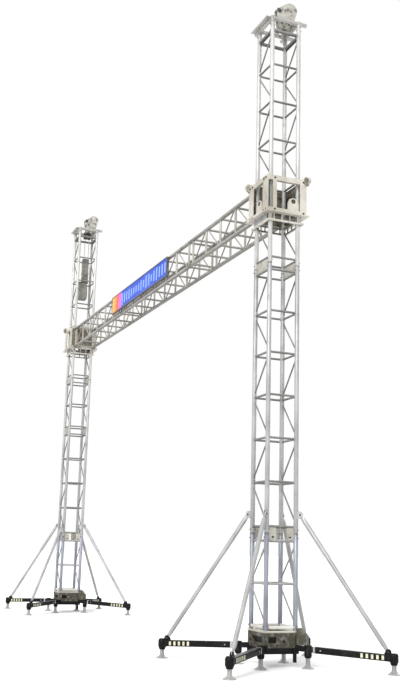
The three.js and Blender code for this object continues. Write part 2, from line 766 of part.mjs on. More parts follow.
// Hook block under the head's bearer: a crown, two cheeks and an idler between them
function hookBlock(top) {
  const { width, depth, cheekThickness, cheekDrop, idlerWidth, wallGap } = hook;
  const crownLow = top - hook.top;
  const arcRadius = chain.fallSpacing / 2;
  const centre = crownLow - arcRadius - chain.radius - wallGap;
  const crown = block([-depth / 2, -width / 2, crownLow], [depth / 2, width / 2, top]);
  const cheeks = [-depth / 2, depth / 2 - cheekThickness].map((x) => (
    block([x, -width / 2, top - cheekDrop], [x + cheekThickness, width / 2, crownLow])
  ));
  const wheelWidth = chain.fallSpacing - 2 * (chain.radius + seatGap);
  const flats = wheelWidth * Math.cos(Math.PI / wheelSides);
  const drum = bar([-idlerWidth / 2, 0, centre], [idlerWidth / 2, 0, centre], flats, wheelSides);
  const axle = bar([-depth / 2, 0, centre], [depth / 2, 0, centre], 2 * chain.radius, chordSides);
  return unite([crown, ...cheeks, drum, axle]);
}

// Load chain as one smooth cord: up, round the hook block's idler, and down
function chainLoop(top) {
  const arcRadius = chain.fallSpacing / 2;
  const centre = top - hook.top - arcRadius - chain.radius - hook.wallGap;
  const steps = 12;
  const route = [[-arcRadius, chainFoot]];
  for (let i = 0; i <= steps; i += 1) {
    const angle = Math.PI - (Math.PI * i) / steps;
    route.push([arcRadius * Math.cos(angle), centre + arcRadius * Math.sin(angle)]);
  }
  route.push([arcRadius, chainFoot]);
  return sweptCord(route, chain.radius, chordSides);
}

// A round cord along points of the Y-Z plane
function sweptCord(route, radius, sides) {
  const points = [];
  const faces = [];
  route.forEach(([y, z], i) => {
    const before = route[Math.max(i - 1, 0)];
    const after = route[Math.min(i + 1, route.length - 1)];
    const heading = Math.atan2(after[1] - before[1], after[0] - before[0]);
    for (let k = 0; k < sides; k += 1) {
      const angle = (2 * Math.PI * k) / sides;
      const side = radius * Math.cos(angle);
      points.push(radius * Math.sin(angle), y - side * Math.sin(heading), z + side * Math.cos(heading));
    }
  });
  for (let i = 0; i < route.length - 1; i += 1) {
    for (let k = 0; k < sides; k += 1) {
      const a = i * sides + k;
      const b = i * sides + ((k + 1) % sides);
      faces.push(a, b, a + sides, b, b + sides, a + sides);
    }
  }
  const last = (route.length - 1) * sides;
  for (let k = 1; k < sides - 1; k += 1) {
    faces.push(0, k + 1, k, last, last + k, last + k + 1);
  }
  const geometry = new THREE.BufferGeometry();
  geometry.setAttribute('position', new THREE.BufferAttribute(new Float32Array(points), 3));
  geometry.setIndex(faces);
  return solidFrom(geometry);
}

// Hoist body that hangs on the chain's two falls, with its motor across it
function hoistBody() {
  const { width, depth, motorWidth, motorLength, motorHeight } = hoist;
  const body = block([-depth / 2, -width / 2, hoistFoot], [depth / 2, width / 2, hoistTop]);
  const z = hoistFoot + motorHeight;
  const motor = bar([-motorLength / 2, 0, z], [motorLength / 2, 0, z], motorWidth, boreSides);
  return unite([body, motor]);
}

// Open chain bag under the hoist
function chainBag() {
  const { width, depth, wall, rim } = bag;
  const outer = block([-depth / 2, -width / 2, bagFoot], [depth / 2, width / 2, bagTop]);
  const slotDepth = width / 2 - wall - rim;
  const space = block(
    [wall - depth / 2, -slotDepth, bagFoot + wall],
    [depth / 2 - wall, slotDepth, bagTop - rim],
  );
  const mouth = block(
    [rim - depth / 2, -slotDepth, bagTop - rim - cutOverrun],
    [rim + wall - depth / 2, slotDepth, bagTop + cutOverrun],
  );
  return cut(outer, [space, mouth]);
}

// Scene graph
const goalPost = new THREE.Group();

function addPiece(parent, name, solid, material, position = [0, 0, 0], turn = 0) {
  const mesh = new THREE.Mesh(geometryFrom(solid), material);
  mesh.name = name;
  mesh.position.set(...position);
  mesh.rotation.z = turn;
  parent.add(mesh);
  return mesh;
}

const shapes = {
  cross: baseCross(),
  frame: baseFrame(),
  outriggerJack: screwJack(endHousing),
  baseJack: screwJack(baseHousing),
  outrigger: outriggerArm(),
  strut: braceStrut(),
  baseSection: baseSection(),
  upperSection: upperSection(),
  head: headFrame(),
  sheave: grooveWheel(),
  wheel: cornerWheel(),
};

// Base, legs and mast of one tower; the pieces stand on the floor
function buildTower({ side, x, lowerRun }) {
  const tower = new THREE.Group();
  tower.position.x = x;
  addPiece(tower, `${side}_base_cross`, shapes.cross, blackSteel);
  addPiece(tower, `${side}_base_frame`, shapes.frame, aluminium);
  corners.forEach((corner, i) => {
    const angle = Math.atan2(corner[1], corner[0]);
    const at = (reach) => [corner[0] * reach * diagonal, corner[1] * reach * diagonal, 0];
    const { outriggerJack, baseJack } = shapes;
    const name = cornerNames[i];
    addPiece(tower, `${side}_outrigger_${name}`, shapes.outrigger, blackSteel, [0, 0, 0], angle);
    addPiece(tower, `${side}_strut_${name}`, shapes.strut, aluminium, [0, 0, 0], angle);
    const footAt = at(outrigger.footReach);
    addPiece(tower, `${side}_outrigger_jack_${name}`, outriggerJack, galvanised, footAt, angle);
    addPiece(tower, `${side}_base_jack_${name}`, baseJack, galvanised, at(baseHousing.reach));
  });
  addPiece(tower, `${side}_mast_base_section`, shapes.baseSection, shadedAluminium, [0, 0, mastFootHeight]);
  addPiece(tower, `${side}_mast_lower_section`, lowerSection(lowerRun), shadedAluminium, [0, 0, baseJoint]);
  addPiece(tower, `${side}_mast_upper_section`, shapes.upperSection, aluminium, [0, 0, middleJoint]);
  addPiece(tower, `${side}_head`, shapes.head, aluminium, [0, 0, mastTop]);
  addPiece(tower, `${side}_head_sheave`, shapes.sheave, galvanised, [0, sheave.y, mastTop + sheave.rise]);
  return tower;
}

// Everything that rises together: sleeves, corner wheels, beam and sign
function buildCarriage() {
  const carriage = new THREE.Group();
  carriage.position.z = beamHeight;
  towers.forEach(({ side, x }) => {
    addPiece(carriage, `${side}_sleeve_block`, sleeveBlock(Math.sign(x)), aluminium, [x, 0, 0]);
    wheelCornerNames.forEach((name) => {
      const corner = corners[cornerNames.indexOf(name)];
      const reach = wheelReach * diagonal;
      const position = [x + corner[0] * reach, corner[1] * reach, wheel.rise];
      const angle = Math.atan2(corner[1], corner[0]);
      addPiece(carriage, `${side}_corner_wheel_${name}`, shapes.wheel, paleRubber, position, angle);
    });
  });
  addBeam(carriage);
  const signName = 'beam_sign';
  addPiece(carriage, signName, signPanel(), signFace, [sign.centre, 0, sign.rise]);
  return carriage;
}

// Beam sections laid end to end between the sleeve blocks
function addBeam(carriage) {
  const names = ['beam_section_left', 'beam_section_middle', 'beam_section_right'];
  const beamLength = beamSectionLengths.reduce((sum, length) => sum + length, 0);
  let start = -beamLength / 2;
  beamSectionLengths.forEach((length, i) => {
    const lying = new THREE.Group();
    lying.position.x = start + seatGap / 2;
    lying.rotation.y = Math.PI / 2;
    addPiece(lying, names[i], beamSection(length), aluminium);
    carriage.add(lying);
    start += length;
  });
}

// Chain hoist inside the left mast
function buildHoist({ x }) {
  const group = new THREE.Group();
  group.position.x = x;
  const top = mastTop + cheek.bottom - seatGap;
  addPiece(group, 'hoist_hook_block', hookBlock(top), hoistPaint, [0, hook.y, 0]);
  addPiece(group, 'hoist_chain', chainLoop(top), chainSteel, [0, hook.y, 0]);
  addPiece(group, 'hoist_body', hoistBody(), hoistGrey, [0, hoist.y, 0]);
  addPiece(group, 'hoist_chain_bag', chainBag(), hoistGrey, [0, bag.y, 0]);
  return group;
}

towers.forEach((tower) => goalPost.add(buildTower(tower)));
goalPost.add(buildCarriage());
goalPost.add(buildHoist(towers[0]));

export default goalPost;
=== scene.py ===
import math
from itertools import product

import bpy
from mathutils import Matrix, Vector


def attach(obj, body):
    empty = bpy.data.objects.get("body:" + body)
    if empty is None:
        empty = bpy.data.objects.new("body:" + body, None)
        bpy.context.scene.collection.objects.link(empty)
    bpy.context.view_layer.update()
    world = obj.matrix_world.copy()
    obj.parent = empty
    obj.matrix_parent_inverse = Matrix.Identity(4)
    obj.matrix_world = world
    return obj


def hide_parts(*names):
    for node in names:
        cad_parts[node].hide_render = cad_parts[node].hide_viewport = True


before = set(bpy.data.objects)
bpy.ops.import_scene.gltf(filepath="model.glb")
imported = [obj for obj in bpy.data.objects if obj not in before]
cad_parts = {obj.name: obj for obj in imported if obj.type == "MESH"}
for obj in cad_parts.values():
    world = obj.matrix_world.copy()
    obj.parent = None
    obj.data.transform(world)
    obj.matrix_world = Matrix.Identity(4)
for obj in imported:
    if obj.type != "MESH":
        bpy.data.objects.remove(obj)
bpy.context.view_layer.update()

# Sizes that repeat the frame's own, in metres
TOWER_X = 4.25
HALF = 0.175
CHORD = 0.0255
CHORD_WALL = 0.004
BAY = 0.475
RING, FOOT_RING, HEAD_RING = 0.075, 0.033, 0.113
FOOT_Z, BASE_Z, MID_Z, TOP_Z = 0.371, 1.371, 4.371, 7.371
BEAM_Z = 5.165
GAP = 0.0003
SIGN_X, SIGN_RISE, SIGN_LENGTH, SIGN_HEIGHT = -0.115, 0.025, 2.64, 0.29
FOOT_REACH, BASE_JACK_REACH = 1.285, 0.388
TUBE_START, TUBE_END = 0.475, 1.275
STRUT_FOOT, STRUT_TOP = (1.23, 0.216), (0.298, 1.575)
EAR_MIDDLE, EAR_THICK, EAR_FACE = 0.0103, 0.008, 0.0143
SCREW, SCREW_ROOT, SCREW_BORE = 0.025, 0.0228, 0.0262
RAIL_FACE, WHEEL_RISE = 0.25, 0.227
SHEAVE_Y, SHEAVE_Z = 0.135, 0.302
DRUM_Y, DRUM_Z = -0.015, 0.265
DIAG = math.sqrt(0.5)
CORNERS = {"front_left": (-1, -1), "front_right": (1, -1), "rear_right": (1, 1), "rear_left": (-1, 1)}
TOWERS = {"left": -TOWER_X, "right": TOWER_X}
SHORT = {"front_left": "fl", "front_right": "fr", "rear_right": "rr", "rear_left": "rl"}


# Materials
class Look:
    """One material's node tree, with a short call for each kind of node."""

    def __init__(self, name):
        self.material = bpy.data.materials.new(name)
        self.material.use_nodes = True
        self.nodes, self.links = self.material.node_tree.nodes, self.material.node_tree.links
        self.shader = self.nodes["Principled BSDF"]
        self.coords = self.nodes.new("ShaderNodeTexCoord").outputs["Object"]

    def feed(self, socket, value):
        """A number, a vector or a colour is set on the socket, anything else is linked to it."""
        if isinstance(value, (int, float)):
            socket.default_value = value
        elif isinstance(value, tuple):
            socket.default_value = value if socket.type == "VECTOR" else (*value, 1.0)
        else:
            self.links.new(value, socket)

    def give(self, name, value):
        self.feed(self.shader.inputs[name], value)

    def node(self, kind, output, feeds):
        """A new node with its sockets fed, as the output that is used."""
        node = self.nodes.new(kind)
        for name, value in feeds.items():
            self.feed(node.inputs[name], value)
        return node.outputs[output]

    def noise(self, scale, detail=4.0, stretch=None):
        place = self.coords
        if stretch:
            place = self.node("ShaderNodeMapping", "Vector", {"Scale": stretch, "Vector": place})
        return self.node("ShaderNodeTexNoise", "Fac", {"Scale": scale, "Detail": detail, "Vector": place})

    def ramp(self, value, *stops):
        node = self.nodes.new("ShaderNodeValToRGB")
        elements = node.color_ramp.elements
        while len(elements) < len(stops):
            elements.new(0.5)
        for element, (place, color) in zip(elements, stops):
            element.position = place
            element.color = (*color, 1.0)
        self.links.new(value, node.inputs["Fac"])
        return node.outputs["Color"]

    def span(self, value, low, high, start=0.0, end=1.0):
        feeds = {"Value": value, "From Min": start, "From Max": end, "To Min": low, "To Max": high}
        return self.node("ShaderNodeMapRange", "Result", feeds)

    def mix(self, factor, first, second):
        node = self.nodes.new("ShaderNodeMix")
        node.data_type = "RGBA"
        for socket, value in ((0, factor), (6, first), (7, second)):
            self.feed(node.inputs[socket], value)
        return node.outputs[2]

    def maths(self, operation, *values):
        node = self.nodes.new("ShaderNodeMath")
        node.operation = operation
        for socket, value in zip(node.inputs, values):
            self.feed(socket, value)
        return node.outputs[0]

    def bump(self, height, strength, distance):
        feeds = {"Height": height, "Strength": strength, "Distance": distance}
        self.give("Normal", self.node("ShaderNodeBump", "Normal", feeds))

    def split(self, vector):
        node = self.nodes.new("ShaderNodeSeparateXYZ")
        self.links.new(vector, node.inputs["Vector"])
        return [node.outputs[axis] for axis in "XYZ"]

    def facing(self):
        return self.split(self.nodes.new("ShaderNodeNewGeometry").outputs["Normal"])

    def from_mast(self):
        """Place from the nearer mast's middle: along X and Y, the larger of the two, and the height."""
        x, y, height = self.split(self.coords)
        along = self.maths("MULTIPLY_ADD", self.maths("SIGN", x), -TOWER_X, x)
        reach = self.maths("MAXIMUM", *(self.maths("ABSOLUTE", part) for part in (along, y)))
        return along, y, reach, height


def worn_metal(name, clean, dull, dirt_and_shade_color, metallic, rough, grain=(1, 1, 1), under=0.0, dirt_and_shade_mask=None):
    """Bare or plated metal: cloudy oxide, drawing marks, fine scuffs, grime in patches, a dark colour by a
    given mask, and painted shade on faces that look down.
    """
    look = Look(name)
    marks = look.noise(9, 4, grain)
    color = look.ramp(look.noise(3.1, 5), (0.36, dull), (0.62, clean))
    color = look.mix(look.span(marks, 0.0, 0.5, 0.5, 0.72), color, dull)
    color = look.mix(look.span(look.noise(7, 5), 0.0, 0.6, 0.58, 0.76), color, dirt_and_shade_color)
    # The given mask mixes in the same dark colour; on the sleeve plates it paints shade.
    if dirt_and_shade_mask:
        color = look.mix(dirt_and_shade_mask(look), color, dirt_and_shade_color)
    # Painted shade: faces that look down get the dark colour, up to the given amount.
    if under:
        color = look.mix(look.span(look.facing()[2], under, 0.0, -0.95, -0.05), color, dirt_and_shade_color)
    look.give("Base Color", color)
    look.give("Roughness", look.span(marks, rough - 0.08, rough + 0.14, 0.3, 0.7))
    look.give("Metallic", metallic)
    look.bump(look.noise(110, 3), 0.1, 0.0005)
    return look.material


def sleeve_painted_shade(look):
    """Painted shade, brown and in patches, on the web plates and on the faces that look at the mast; the
    wheel forks are darkened too.
    """
    web_reach, fork_rise = 0.239, 0.16
    along, y, reach, height = look.from_mast()
    normal = look.facing()
    facing = look.maths("MULTIPLY_ADD", normal[0], along, look.maths("MULTIPLY", normal[1], y))
    inward = look.maths("LESS_THAN", facing, -0.03)
    web = look.maths("COMPARE", reach, web_reach, 0.0015)
    outside = look.maths("GREATER_THAN", reach, RAIL_FACE + 0.0015)
    fork = look.maths("MULTIPLY", outside, look.maths("GREATER_THAN", height, BEAM_Z + fork_rise))
    where = look.maths("MAXIMUM", web, look.maths("MAXIMUM", inward, fork))
    return look.maths("MULTIPLY", where, look.span(look.noise(14, 5), 0.6, 1.0, 0.35, 0.65))


def base_darkening(look):
    """Dark olive, in patches, over the whole frame but its top plate."""
    plate_height, plate_reach = 0.352, 0.2125
    _, _, reach, height = look.from_mast()
    high = look.maths("GREATER_THAN", height, plate_height)
    bright = look.maths("MULTIPLY", high, look.maths("LESS_THAN", reach, plate_reach))
    patches = look.span(look.noise(22, 6), 0.76, 1.0, 0.3, 0.5)
    return look.maths("MULTIPLY", look.maths("SUBTRACT", 1.0, bright), patches)


def blotches(look):
    return look.span(look.noise(19, 5), 0.0, 0.85, 0.47, 0.64)


ALONG_Z = (9, 9, 0.5)
ALONG_X = (0.5, 9, 9)
upper_aluminium = worn_metal(
    "upper_aluminium", (0.47, 0.465, 0.45), (0.37, 0.365, 0.35), (0.22, 0.21, 0.2), 0.25, 0.42, ALONG_Z)
head_aluminium = worn_metal(
    "head_aluminium", (0.43, 0.42, 0.4), (0.31, 0.3, 0.28), (0.15, 0.14, 0.12), 0.25, 0.45)
lower_aluminium = worn_metal(
    "lower_aluminium", (0.37, 0.37, 0.375), (0.27, 0.27, 0.275), (0.15, 0.15, 0.15), 0.3, 0.42, ALONG_Z)
base_aluminium = worn_metal(
    "base_aluminium", (0.27, 0.285, 0.33), (0.19, 0.2, 0.24), (0.11, 0.115, 0.13), 0.3, 0.42, ALONG_Z)
# Beam chords and rungs: painted shade on faces that look down.
beam_aluminium = worn_metal(
    "beam_aluminium", (0.36, 0.35, 0.32), (0.25, 0.24, 0.22), (0.08, 0.072, 0.062), 0.3, 0.42, ALONG_X, 0.75)
beam_rung = worn_metal(
    "beam_rung", (0.37, 0.355, 0.32), (0.23, 0.22, 0.195), (0.07, 0.062, 0.05), 0.25, 0.45, under=0.85)
# Mast rungs: a darker colour than the chords as painted shade, and painted shade on faces that look down.
rung_aluminium_painted_shade = worn_metal(
    "rung_aluminium_painted_shade", (0.24, 0.24, 0.23), (0.15, 0.15, 0.145), (0.05, 0.047, 0.04), 0.35, 0.45, under=0.8)
# Base-section rungs: painted shade on faces that look down.
lower_rung = worn_metal(
    "lower_rung_aluminium", (0.32, 0.32, 0.31), (0.2, 0.2, 0.195), (0.08, 0.076, 0.07), 0.3, 0.45,
    under=0.6)
strut_aluminium = worn_metal(
    "strut_aluminium", (0.36, 0.36, 0.355), (0.27, 0.27, 0.27), (0.18, 0.175, 0.17), 0.25, 0.42)
# Sleeve plates: painted shade inside the sleeve, on its web plates and on faces that look at the mast.
cream_plate = worn_metal(
    "cream_plate", (0.5, 0.475, 0.42), (0.36, 0.335, 0.28), (0.075, 0.058, 0.036), 0.15, 0.48,
    dirt_and_shade_mask=sleeve_painted_shade)
# Joint plates: painted shade on faces that look down.
joint_plate = worn_metal(
    "joint_plate", (0.4, 0.39, 0.345), (0.28, 0.265, 0.225), (0.09, 0.08, 0.062), 0.2, 0.48, under=0.4)
cheek_plate = worn_metal(
    "cheek_plate", (0.44, 0.43, 0.39), (0.3, 0.285, 0.25), (0.055, 0.05, 0.04), 0.15, 0.5, dirt_and_shade_mask=blotches)
base_plate = worn_metal(
    "base_plate", (0.56, 0.545, 0.49), (0.4, 0.385, 0.33), (0.04, 0.036, 0.022), 0.2, 0.5, dirt_and_shade_mask=base_darkening)
bright_ring = worn_metal(
    "bright_ring", (0.62, 0.61, 0.57), (0.48, 0.47, 0.43), (0.2, 0.19, 0.16), 0.15, 0.42)
skirt_grey = worn_metal(
    "skirt_grey", (0.3, 0.31, 0.31), (0.21, 0.215, 0.215), (0.11, 0.105, 0.09), 0.25, 0.48)
weld_metal = worn_metal(
    "weld_bead", (0.36, 0.355, 0.34), (0.24, 0.235, 0.22), (0.14, 0.135, 0.12), 0.45, 0.5)
zinc = worn_metal(
    "zinc_steel", (0.42, 0.42, 0.41), (0.3, 0.3, 0.295), (0.15, 0.145, 0.13), 0.45, 0.4)
steel = worn_metal(
    "dark_steel", (0.055, 0.055, 0.055), (0.03, 0.03, 0.03), (0.08, 0.065, 0.05), 0.45, 0.45)


def black_coat():
    """Powder coat: orange-peel bump, dust in patches, bare metal where it is chipped or scraped."""
    look = Look("black_coat")
    dust = look.span(look.noise(9, 6), 0.0, 0.6, 0.52, 0.8)
    color = look.mix(dust, (0.004, 0.004, 0.0045), (0.022, 0.02, 0.016))
    chips = look.span(look.noise(75, 5), 0.0, 1.0, 0.68, 0.72)
    look.give("Base Color", look.mix(chips, color, (0.09, 0.085, 0.075)))
    look.give("Roughness", look.span(dust, 0.42, 0.66, 0.0, 0.6))
    look.give("Specular IOR Level", 0.12)
    look.bump(look.noise(420, 2), 0.18, 0.0005)
    return look.material


def hazard_label():
    look = Look("hazard_label")
    rub = look.span(look.noise(90, 6), 0.0, 1.0, 0.58, 0.68)
    fade = look.ramp(look.noise(14, 4), (0.35, (0.44, 0.425, 0.29)), (0.65, (0.58, 0.565, 0.43)))
    look.give("Base Color", look.mix(rub, fade, (0.22, 0.21, 0.16)))
    look.give("Roughness", look.span(rub, 0.38, 0.6))
    look.bump(rub, 0.2, 0.0003)
    return look.material


def rubber(name, light, dark):
    look = Look(name)
    look.give("Base Color", look.ramp(look.noise(40, 6), (0.38, dark), (0.6, light)))
    look.give("Roughness", look.span(look.noise(60, 3), 0.5, 0.75, 0.3, 0.7))
    look.bump(look.noise(260, 4), 0.25, 0.0006)
    return look.material


def bag_cloth():
    """Coarse plain weave from two crossed wave textures, over a cloudy ground."""
    look = Look("bag_cloth")
    heights = []
    for direction in ("Z", "DIAGONAL"):
        wave = look.nodes.new("ShaderNodeTexWave")
        wave.bands_direction = direction
        wave.inputs["Scale"].default_value = 120
        wave.inputs["Distortion"].default_value = 0.6
        look.links.new(look.coords, wave.inputs["Vector"])
        heights.append(wave.outputs["Fac"])
    weave = look.maths("MAXIMUM", *heights)
    base = look.ramp(look.noise(12, 5), (0.35, (0.13, 0.13, 0.11)), (0.65, (0.22, 0.215, 0.19)))
    look.give("Base Color", look.mix(look.span(weave, 0.0, 0.35), base, (0.27, 0.265, 0.24)))
    look.give("Roughness", 0.85)
    look.bump(weave, 0.5, 0.001)
    return look.material


def sign_light():
    """Light panel of small round dots: warm bands at the left end, then light upright bars on blue."""
    look = Look("sign_light")
    left, warm_length, fade_start, bar_pitch = SIGN_X - SIGN_LENGTH / 2, 0.56, 0.5, 0.118
    along, _, height = look.split(look.coords)
    warm = look.ramp(
        look.span(along, 0.0, 1.0, left, left + warm_length),
        (0.0, (0.62, 0.42, 0.16)), (0.22, (0.95, 0.36, 0.06)), (0.5, (0.9, 0.12, 0.07)),
        (0.74, (0.62, 0.13, 0.42)), (1.0, (0.26, 0.18, 0.8)))
    step = look.maths("DIVIDE", along, bar_pitch)
    share = look.maths("FRACT", step)
    column = look.nodes.new("ShaderNodeTexWhiteNoise")
    column.noise_dimensions = "1D"
    look.links.new(look.maths("FLOOR", step), column.inputs["W"])
    tall = look.maths("MULTIPLY_ADD", column.outputs["Value"], 0.05, 0.052)
    rise = look.maths("ABSOLUTE", look.maths("SUBTRACT", height, BEAM_Z + SIGN_RISE))
    after, before = look.maths("GREATER_THAN", share, 0.28), look.maths("LESS_THAN", share, 0.76)
    lit = look.maths("MULTIPLY", look.maths("LESS_THAN", rise, tall), look.maths("MULTIPLY", after, before))
    glow = look.span(look.noise(1.7, 3), 0.0, 1.0, 0.3, 0.7)
    field = look.mix(glow, (0.022, 0.06, 0.42), (0.06, 0.12, 0.6))
    cool = look.mix(lit, field, (0.22, 0.34, 0.8))
    border = look.span(along, 0.0, 1.0, left + fade_start, left + warm_length)
    flat = look.node("ShaderNodeCombineXYZ", "Vector", {"X": along, "Y": height})
    grid = look.nodes.new("ShaderNodeTexVoronoi")
    grid.voronoi_dimensions = "2D"
    grid.inputs["Scale"].default_value = 75
    grid.inputs["Randomness"].default_value = 0.0
    look.links.new(flat, grid.inputs["Vector"])
    dots = look.span(grid.outputs["Distance"], 1.0, 0.25, 0.36, 0.52)
    color = look.mix(dots, (0.01, 0.01, 0.02), look.mix(border, warm, cool))
    look.give("Base Color", color)
    look.give("Emission Color", color)
    look.give("Emission Strength", 0.55)
    look.give("Specular IOR Level", 0.15)
    look.give("Roughness", look.span(dots, 0.65, 0.45))
    look.bump(dots, 0.3, 0.002)
    return look.material


def painted(name, light, dark, rough):
    look = Look(name)
    color = look.ramp(look.noise(16, 6), (0.36, dark), (0.62, light))
    chips = look.span(look.noise(85, 5), 0.0, 1.0, 0.66, 0.7)
    look.give("Base Color", look.mix(chips, color, (0.34, 0.33, 0.31)))
    look.give("Roughness", look.span(look.noise(50, 4), rough - 0.08, rough + 0.15, 0.3, 0.7))
    look.give("Metallic", 0.15)
    look.bump(look.noise(300, 3), 0.15, 0.0005)
    return look.material


black = black_coat()
hazard = hazard_label()
pale_tyre = rubber("pale_tyre", (0.44, 0.43, 0.38), (0.17, 0.16, 0.13))
canvas = bag_cloth()
sign_picture = sign_light()
sign_frame = painted("sign_frame", (0.09, 0.09, 0.1), (0.05, 0.05, 0.06), 0.45)
hoist_dark = painted("hoist_dark", (0.028, 0.023, 0.018), (0.016, 0.013, 0.01), 0.5)
hoist_shell = painted("hoist_shell", (0.17, 0.165, 0.145), (0.11, 0.105, 0.09), 0.5)
hoist_grey = painted("hoist_grey", (0.27, 0.265, 0.24), (0.19, 0.185, 0.16), 0.5)


# Mesh building
def bands(rows, sides, flip=False, closed=False):
    """Quads between rings of points that follow each other in one list."""
    faces = []
    for row in range(rows if closed else rows - 1):
        here, there = row * sides, (row + 1) % rows * sides
        for i in range(sides):
            j = (i + 1) % sides
            a, b, c, d = here + i, here + j, there + j, there + i
            faces.append([a, d, c, b] if flip else [a, b, c, d])
    return faces


def ends(rows, sides):
    """The first ring and the last one, each as a face that looks outwards."""
    return [list(range(sides))[::-1], list(range((rows - 1) * sides, rows * sides))]


def bulged(t, power):
    """A point of a unit ring that is a circle at a power of 1 and squarer below it."""
    c, s = math.cos(t), math.sin(t)
    return math.copysign(abs(c) ** power, c), math.copysign(abs(s) ** power, s)


def added(name, data):
    obj = bpy.data.objects.new(name, data)
    bpy.context.scene.collection.objects.link(obj)
    return obj


def soften(obj, width, harden):
    edges = obj.modifiers.new("edges", "BEVEL")
    edges.width = width
    edges.segments = 2
    edges.limit_method = "ANGLE"
    edges.angle_limit = math.radians(50)
    edges.harden_normals = harden


class Shape:
    """Collects faces and their materials, then becomes one object."""

    def __init__(self):
        self.materials, self.points, self.faces, self.indices = [], [], [], []

    def put(self, points, faces, material):
        if material not in self.materials:
            self.materials.append(material)
        start = len(self.points)
        self.points.extend(Vector(p) for p in points)
        self.faces.extend([start + i for i in face] for face in faces)
        self.indices.extend([self.materials.index(material)] * len(faces))

    def tube(self, a, b, radius, material, sides=20, radius_b=None, caps=True):
        a, b = Vector(a), Vector(b)
        axis = (b - a).normalized()
        side = axis.orthogonal().normalized()
        up = axis.cross(side)
        points = [
            centre + (side * math.cos(t) + up * math.sin(t)) * r
            for centre, r in ((a, radius), (b, radius if radius_b is None else radius_b))
            for t in (math.tau * i / sides for i in range(sides))
        ]
        self.put(points, bands(2, sides) + (ends(2, sides) if caps else []), material)

    def lathe(self, origin, profile, material, sides=36, axis=(0, 0, 1)):
        """Turns (radius, height) pairs about an axis; a radius of 0 closes the end."""
        origin, axis = Vector(origin), Vector(axis).normalized()
        side = axis.orthogonal().normalized()
        up = axis.cross(side)
        points, rows = [], []
        for radius, height in profile:
            row = []
            for i in range(sides if radius > 0 else 1):
                t = math.tau * i / sides
                row.append(len(points))
                points.append(origin + axis * height + (side * math.cos(t) + up * math.sin(t)) * radius)
            rows.append(row)
        faces = []
        for low, high in zip(rows, rows[1:]):
            for i in range(sides):
                j = (i + 1) % sides
                quad = [low[i % len(low)], low[j % len(low)], high[j % len(high)], high[i % len(high)]]
                face = list(dict.fromkeys(quad))
                if len(face) > 2:
                    faces.append(face)
        self.put(points, faces, material)

    def box(self, low, high, material, matrix=None):
        points = [Vector(corner) for corner in product(*zip(low, high))]
        if matrix:
            points = [matrix @ p for p in points]
        faces = [[0, 1, 3, 2], [4, 6, 7, 5], [0, 4, 5, 1], [2, 3, 7, 6], [0, 2, 6, 4], [1, 5, 7, 3]]
        self.put(points, faces, material)

    def plate(self, outline, holes, thickness, material, matrix, bevel=0.0012):
        """A flat plate with holes and softened edges, its middle plane in the matrix's XY plane."""
        curve = bpy.data.curves.new("plate", "CURVE")
        curve.dimensions = "2D"
        curve.fill_mode = "BOTH"
        curve.extrude = thickness / 2 - bevel
        curve.bevel_depth = bevel
        curve.bevel_resolution = 1
        curve.offset = -bevel
        for loop in (outline, *holes):
            spline = curve.splines.new("POLY")
            spline.points.add(len(loop) - 1)
            for point, (u, v) in zip(spline.points, loop):
                point.co = (u, v, 0, 1)
            spline.use_cyclic_u = True
        holder = bpy.data.objects.new("plate", curve)
        mesh = bpy.data.meshes.new_from_object(holder)
        self.put([matrix @ v.co for v in mesh.vertices], [list(p.vertices) for p in mesh.polygons], material)
        bpy.data.objects.remove(holder)
        bpy.data.curves.remove(curve)
        bpy.data.meshes.remove(mesh)

    def bolt(self, at, axis, radius, material, height=None):
        """Hexagon head on a washer."""
        at, axis = Vector(at), Vector(axis).normalized()
        washer, head = radius * 0.22, height or radius * 0.7
        self.tube(at, at + axis * washer, radius * 1.25, material, 16)
        self.tube(at, at + axis * (washer + head), radius, material, 6)

    def moved(self, matrix, start=0):
        for i in range(start, len(self.points)):
            self.points[i] = matrix @ self.points[i]
        return self

    def copied(self):
        copy = Shape()
        copy.materials, copy.faces, copy.indices = self.materials, self.faces, self.indices
        copy.points = list(self.points)
        return copy

    def piece(self, name, body, replaces, slot, bevel=0.0, smooth=40):
        mesh = bpy.data.meshes.new(name)
        mesh.from_pydata([tuple(p) for p in self.points], [], self.faces)
        for material in self.materials:
            mesh.materials.append(material)
        mesh.polygons.foreach_set("material_index", self.indices)
        mesh.validate()
        mesh.shade_smooth()
        mesh.set_sharp_from_angle(angle=math.radians(smooth))
        obj = added(name, mesh)
        if bevel:
            soften(obj, bevel, True)
        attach(obj, body)
        if replaces:
            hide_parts(*replaces)


def turn_z(x, y, z=0.0, angle=0.0):
    return Matrix.Translation((x, y, z)) @ Matrix.Rotation(angle, 4, "Z")


def towards(corner):
    """Turns +X to the diagonal of a corner."""
    return Matrix.Rotation(math.atan2(corner[1], corner[0]), 4, "Z")


def circle(u, v, radius, sides=20):
    turns = [math.tau * i / sides for i in range(sides)]
    return [(u + radius * math.cos(t), v + radius * math.sin(t)) for t in turns]


def across_x(x):
    """Frame for a plate whose outline is in (y, z)."""
    return Matrix(((0, 0, 1, x), (1, 0, 0, 0), (0, 1, 0, 0), (0, 0, 0, 1)))


def across_y(y):
    """Frame for a plate whose outline is in (x, z)."""
    return Matrix(((1, 0, 0, 0), (0, 0, -1, y), (0, 1, 0, 0), (0, 0, 0, 1)))


# Truss
def ring_heights(length, low=RING):
    bays = round((length - 2 * RING) / BAY)
    pitch = (length - low - RING) / bays
    return [low + i * pitch for i in range(bays + 1)]


def on_chord(corner, z):
    return Vector((corner[0] * HALF, corner[1] * HALF, z))


